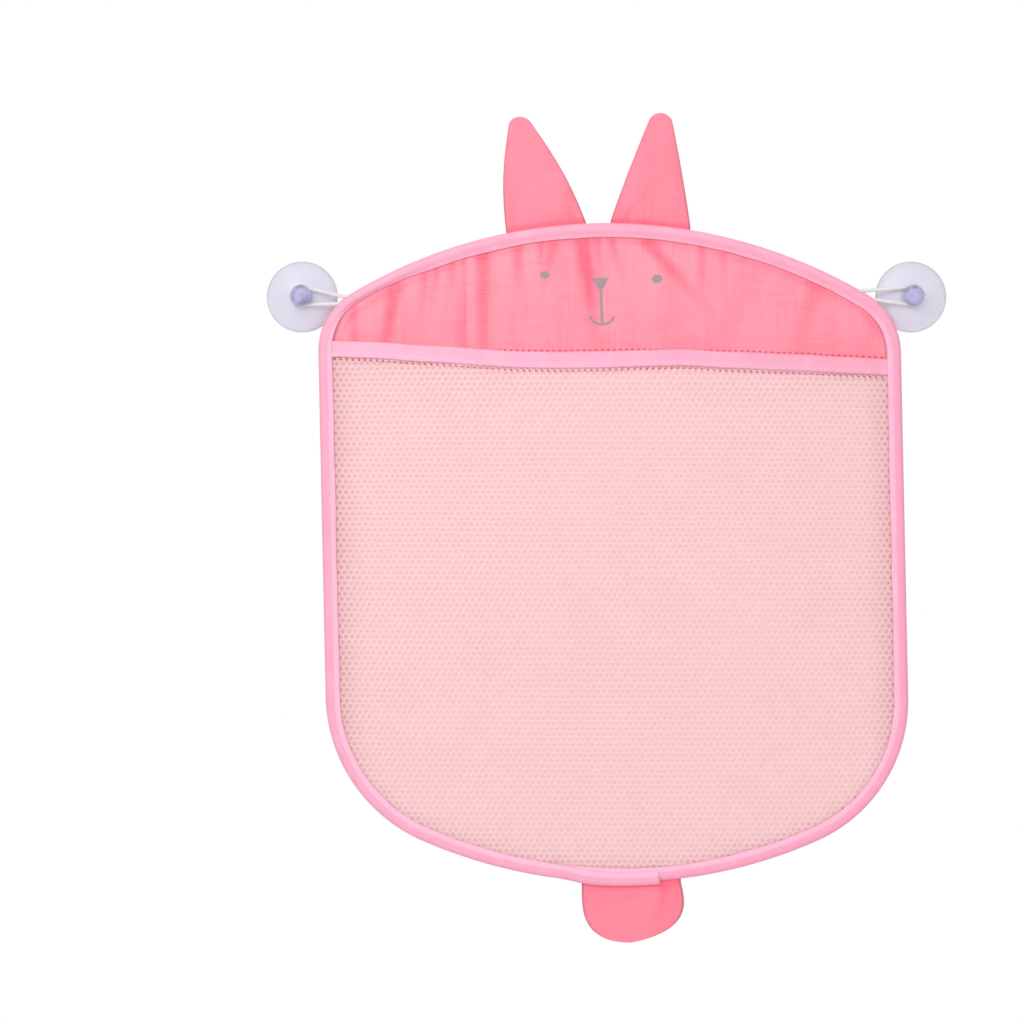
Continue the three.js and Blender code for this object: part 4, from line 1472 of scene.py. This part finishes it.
def cord_route(bag, side):
    """Route of a loop: from inside the tape round the cup's neck and back."""
    cups = settings().cups
    joint = JOINTS["left_loop_fold" if side < 0 else "right_loop_fold"]
    spread = cups.left_spread if side < 0 else cups.right_spread
    seat = Vector(joint["pos_m"])
    along = Vector(joint["axis"]) * side
    upper = seat - along * spread / 2
    lower = seat + along * spread / 2
    bend = cups.neck + SEAM_GAP + cups.cord / 2
    axis = side * (bag.half + cups.outreach)
    neck = -cups.neck_base - cups.neck_length / 2
    round_neck = []
    for index in range(NECK_STEPS + 1):
        turn = math.pi / 2 - math.pi * index / NECK_STEPS
        round_neck.append(Vector((axis + side * bend * math.cos(turn), neck, bend * math.sin(turn))))
    first = upper + (upper - round_neck[0]).normalized() * CORD_STUB
    last = lower + (lower - round_neck[-1]).normalized() * CORD_STUB
    return even_route([first, upper, *round_neck, lower, last]), seat, along


def even_route(corners):
    """Evenly spaced points along straight pieces between corners, with the corners eased."""
    points = []
    for a, b in zip(corners, corners[1:]):
        count = max(1, round((b - a).length / CORD_STEP))
        points += [a.lerp(b, index / count) for index in range(count)]
    points.append(corners[-1])
    for _ in range(2):
        eased = [a * 0.25 + b * 0.5 + c * 0.25 for a, b, c in zip(points, points[1:], points[2:])]
        points = [points[0], *eased, points[-1]]
    return points


def loop_cord(bag, name, side):
    """One hairpin of braided cord with its real length, and the two ends of its bend at the tape."""
    cups = settings().cups
    route, seat, along = cord_route(bag, side)
    distance = sum((b - a).length for a, b in zip(route, route[1:]))
    steps = len(route) - 1

    def place(u, v):
        index = min(steps, round(u * steps))
        way = (route[min(steps, index + 1)] - route[max(0, index - 1)]).normalized()
        across = way.cross(Vector((0, 1, 0))).normalized()
        up = across.cross(way).normalized()
        turn = TURN * v
        return route[index] + (across * math.cos(turn) + up * math.sin(turn)) * cups.cord / 2

    shape = cloth(steps, 16, place, (distance, 1), closed=True)
    bmesh.ops.holes_fill(shape, edges=shape.edges, sides=0)
    made = piece(name, shape, cord_finish(name + "_braid"))
    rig.cord(
        made, exit=route[0], length=distance, diameter=cups.cord, far_end="object",
        stiffness="limp", lay="taut", path=route,
    )
    out = Vector((0, 1, 0)).cross(along).normalized()
    if out.x * side < 0:
        out = -out
    return made, seat - out * CORD_BEND_IN, seat + out * CORD_BEND_OUT


# Steps of a cup's section, and the low ridge on its disc: radius, height and width
DISH_STEPS = 12
DISC_STEPS = 18
HEAD_STEPS = 10
DISC_RIDGE = (16.4 * MM, 0.1 * MM, 0.9 * MM)


def cup_profile():
    """Half section of a cup, from the middle of its dish over its rim to the dimple on its head.

    Each point is a radius from the cup's axis and a height over the wall.
    """
    cups = settings().cups
    rim = cups.diameter / 2
    lip = 1.8 * MM
    edge = 0.6 * MM
    profile = []
    for index in range(DISH_STEPS + 1):
        part = index / DISH_STEPS
        profile.append(((rim - lip) * part, cups.dish * (1 - part**2)))
    profile += [
        (rim - 0.7 * MM, 0.02 * MM),
        (rim - 0.15 * MM, 0.12 * MM),
        (rim, 0.35 * MM),
        (rim - 0.12 * MM, edge),
    ]
    for index in range(1, DISC_STEPS + 1):
        radius = rim + (cups.boss - rim) * index / DISC_STEPS
        part = (radius - cups.boss) / (rim - cups.boss)
        ridge = swell(radius, *DISC_RIDGE)
        profile.append((radius, cups.height + (edge - cups.height) * part**1.6 + ridge))
    top = cups.neck_base + cups.neck_length
    waist = cups.neck - 0.15 * MM
    profile += [
        (cups.boss - 0.5 * MM, cups.height + 0.75 * MM),
        (cups.neck + 0.35 * MM, cups.neck_base - 0.25 * MM),
        (cups.neck, cups.neck_base + 0.4 * MM),
        (waist, (cups.neck_base + top) / 2),
        (cups.neck, top - 0.35 * MM),
        (cups.neck + 0.5 * MM, top),
        (cups.head - 0.5 * MM, top + 0.25 * MM),
    ]
    for index in range(HEAD_STEPS):
        turn = math.pi / 2 * index / HEAD_STEPS
        rise = cups.head_height * (0.35 + 0.65 * math.sin(turn))
        profile.append((cups.head * math.cos(turn), top + rise))
    crest = top + cups.head_height
    profile += [(0.9 * MM, crest), (0.7 * MM, crest - 0.25 * MM), (0, crest - 0.3 * MM)]
    return profile


def suction_cup(bag, name, side):
    """A moulded cup, spun about its own axis."""
    axis = side * (bag.half + settings().cups.outreach)
    shape = bmesh.new()
    points = [shape.verts.new((axis + radius, -height, 0)) for radius, height in cup_profile()]
    edges = [shape.edges.new(pair) for pair in zip(points, points[1:])]
    centre = (axis, 0, 0)
    bmesh.ops.spin(
        shape, geom=points + edges, cent=centre, axis=(0, 1, 0), angle=TURN, steps=72, use_merge=True
    )
    bmesh.ops.remove_doubles(shape, verts=shape.verts, dist=1e-6)
    bmesh.ops.recalc_face_normals(shape, faces=shape.faces)
    return piece(name, shape, cup_finish(name + "_vinyl"))


class OrganizerOperator:
    """What the operators share."""

    bl_options = {"REGISTER", "UNDO"}

    def execute(self, context):
        self.make()
        return {"FINISHED"}


# The stage in metres and watts: camera, floor, and each lamp's place, size and power
CAMERA_PLACE = (-0.0533, -1.604, -0.1212)
FLOOR_Z = -0.56
FLOOR_RADIUS = 0.7
LAMPS = (
    ("key_light", (-0.65, -1.55, 0.7), 1.0, 15),
    ("fill_light", (1.0, -1.6, 0.1), 1.4, 5),
    ("back_light", (0.2, 1.5, 0.8), 1.4, 8),
)
LAMP_AIM = Vector((0, 0, -0.14))
SKY_LIGHT = 0.62


class ORGANIZER_OT_stage(OrganizerOperator, bpy.types.Operator):
    """Set up the camera, the soft light and the pale floor"""

    bl_idname = "organizer.stage"
    bl_label = "Stage"

    def make(self):
        scene = bpy.context.scene
        scene.view_settings.view_transform = "Standard"
        camera = bpy.data.cameras.new("camera")
        camera.lens = 100
        camera.sensor_width = 36
        eye = bpy.data.objects.new("camera", camera)
        eye.location = CAMERA_PLACE
        eye.rotation_euler = (math.pi / 2, 0, 0)
        scene.collection.objects.link(eye)
        scene.camera = eye
        for name, place, size, power in LAMPS:
            lamp = bpy.data.lights.new(name, "AREA")
            lamp.size = size
            lamp.energy = power
            made = bpy.data.objects.new(name, lamp)
            made.location = place
            aim = LAMP_AIM - Vector(place)
            made.rotation_euler = aim.to_track_quat("-Z", "Y").to_euler()
            scene.collection.objects.link(made)
        shape = bmesh.new()
        bmesh.ops.create_circle(shape, cap_ends=True, segments=96, radius=FLOOR_RADIUS)
        bmesh.ops.translate(shape, verts=shape.verts, vec=(0, 0, FLOOR_Z))
        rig.stage(piece("floor", shape, floor_finish("pale_floor")))
        self.sky(scene)

    def sky(self, scene):
        """White to the camera and in gloss and glass, and a plain soft light on the object."""
        world = bpy.data.worlds.new("studio")
        scene.world = world
        shading = Shading(world)
        rays = ("Is Camera Ray", "Is Glossy Ray", "Is Transmission Ray")
        camera, gloss, glass = shading.node("ShaderNodeLightPath", outputs=rays)
        seen = camera.most(gloss).most(glass)
        levels = {"Value": seen, "To Min": SKY_LIGHT, "To Max": 1.0}
        strength = shading.node("ShaderNodeMapRange", inputs=levels)
        light = shading.node("ShaderNodeBackground", inputs={"Color": (1, 1, 1, 1), "Strength": strength})
        shading.node("ShaderNodeOutputWorld", inputs={"Surface": light}, outputs=())


class ORGANIZER_OT_cords(OrganizerOperator, bpy.types.Operator):
    """Make the two cord loops"""

    bl_idname = "organizer.cords"
    bl_label = "Cord loops"

    def make(self):
        bag = BagForm()
        for name, side in (("left", -1), ("right", 1)):
            made, start, end = loop_cord(bag, name + "_cord", side)
            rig.replaces(made, name + "_loop")
            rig.slot(made, "cord")
            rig.blend(made, "bag", name + "_loop", start=start, end=end)


class ORGANIZER_OT_cups(OrganizerOperator, bpy.types.Operator):
    """Make the two suction cups"""

    bl_idname = "organizer.cups"
    bl_label = "Suction cups"

    def make(self):
        bag = BagForm()
        for name, side in (("left", -1), ("right", 1)):
            made = suction_cup(bag, name + "_suction_cup", side)
            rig.replaces(made, name + "_cup")
            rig.slot(made, "cup")
            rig.ride(made, name + "_cup")


class ORGANIZER_OT_tapes(OrganizerOperator, bpy.types.Operator):
    """Make the folded tapes and their stitches"""

    bl_idname = "organizer.tapes"
    bl_label = "Tapes"

    def make(self):
        bag = BagForm()
        edge, edge_seam = perimeter_tape(bag)
        mouth, mouth_seam, mouth_catch = mouth_tape(bag)
        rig.replaces(edge, "perimeter_binding")
        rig.replaces(mouth, "mouth_binding")
        for made in (edge, edge_seam, mouth, mouth_seam, mouth_catch):
            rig.slot(made, "tape")
            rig.ride(made, "bag")


class ORGANIZER_OT_face(OrganizerOperator, bpy.types.Operator):
    """Make the woven face panel"""

    bl_idname = "organizer.face"
    bl_label = "Face panel"

    def make(self):
        panel, seam = face_panel(BagForm())
        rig.replaces(panel, "face_panel")
        for made in (panel, seam):
            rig.slot(made, "woven")
            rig.ride(made, "bag")


class ORGANIZER_OT_nets(OrganizerOperator, bpy.types.Operator):
    """Make the back net and the pocket net"""

    bl_idname = "organizer.nets"
    bl_label = "Nets"

    def make(self):
        bag = BagForm()
        for made, node in ((back_net(bag), "back_mesh"), (pocket_net(bag), "pocket_mesh")):
            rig.replaces(made, node)
            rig.slot(made, "net")
            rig.ride(made, "bag")


class ORGANIZER_OT_flaps(OrganizerOperator, bpy.types.Operator):
    """Make the ears and the tail"""

    bl_idname = "organizer.flaps"
    bl_label = "Ears and tail"

    def make(self):
        bag = BagForm()
        sizes = settings().flaps
        finishes = settings().finishes
        left_ear = ear_form(bag, sizes.left_ear, sizes.left_lean, sizes.left_bow)
        right_ear = ear_form(bag, sizes.right_ear, sizes.right_lean, sizes.right_bow)
        flaps = (
            ("left_ear", left_ear, 31, (14 * MM, 0.2), finishes.woven),
            ("right_ear", right_ear, 35, (-16 * MM, 0.7), finishes.woven),
            ("tail", tail_form(bag), 39, (-20 * MM, 0.3), finishes.tail),
        )
        for name, form, seed, crease, base in flaps:
            made = flap(name + "_flap", form, seed, crease, base)
            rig.replaces(made, name + "_front", name + "_back")
            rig.slot(made, "woven")
            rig.padded(made, fill=0.15)
            start = form.at(-FLAP_ROOT, 0, 0)
            bend = FLAP_BEND * form.height
            end = start + (form.at(bend, 0, 0) - start).project(form.at(form.height, 0, 0) - form.seat)
            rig.blend(made, "bag", name, start=start, end=end)


class ORGANIZER_PT_panel(bpy.types.Panel):
    """Sizes, finishes and pieces of the organizer"""

    bl_idname = "ORGANIZER_PT_panel"
    bl_label = "Bath Toy Organizer"
    bl_space_type = "VIEW_3D"
    bl_region_type = "UI"
    bl_category = "Organizer"

    def draw(self, context):
        layout = self.layout
        layout.prop(context.scene.organizer, "detail")
        for group in ("outline", "pocket", "tape", "flaps", "cups", "finishes"):
            box = layout.box()
            box.label(text=group.capitalize())
            sizes = getattr(context.scene.organizer, group)
            for key in sizes.bl_rna.properties.keys():
                if key not in {"rna_type", "name"}:
                    box.prop(sizes, key)
        for operator in OPERATORS:
            layout.operator(operator.bl_idname)


# In the order in which they are made
OPERATORS = (
    ORGANIZER_OT_stage,
    ORGANIZER_OT_cords,
    ORGANIZER_OT_cups,
    ORGANIZER_OT_tapes,
    ORGANIZER_OT_face,
    ORGANIZER_OT_nets,
    ORGANIZER_OT_flaps,
)
GROUPS = (OutlineSizes, PocketSizes, TapeSizes, FlapSizes, CupSizes, Finishes, OrganizerSettings)
CLASSES = (*GROUPS, *OPERATORS, ORGANIZER_PT_panel)


def register():
    for item in CLASSES:
        bpy.utils.register_class(item)
    bpy.types.Scene.organizer = PointerProperty(type=OrganizerSettings)


def unregister():
    del bpy.types.Scene.organizer
    for item in reversed(CLASSES):
        bpy.utils.unregister_class(item)


def main():
    """Makes every piece in order and writes the boxes of the frame and of the finished look."""
    register()
    bpy.ops.organizer.stage()
    bpy.ops.organizer.cords()
    bpy.ops.organizer.cups()
    bpy.ops.organizer.tapes()
    bpy.ops.organizer.face()
    bpy.ops.organizer.nets()
    bpy.ops.organizer.flaps()
    boxes = {"cad": CAD_BOX, "visual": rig.bounds()}
    plain = {key: [list(corner) for corner in box] for key, box in boxes.items()}
    with open(SIZE_FILE, "w") as file:
        json.dump(plain, file)


if __name__ == "__main__":
    main()
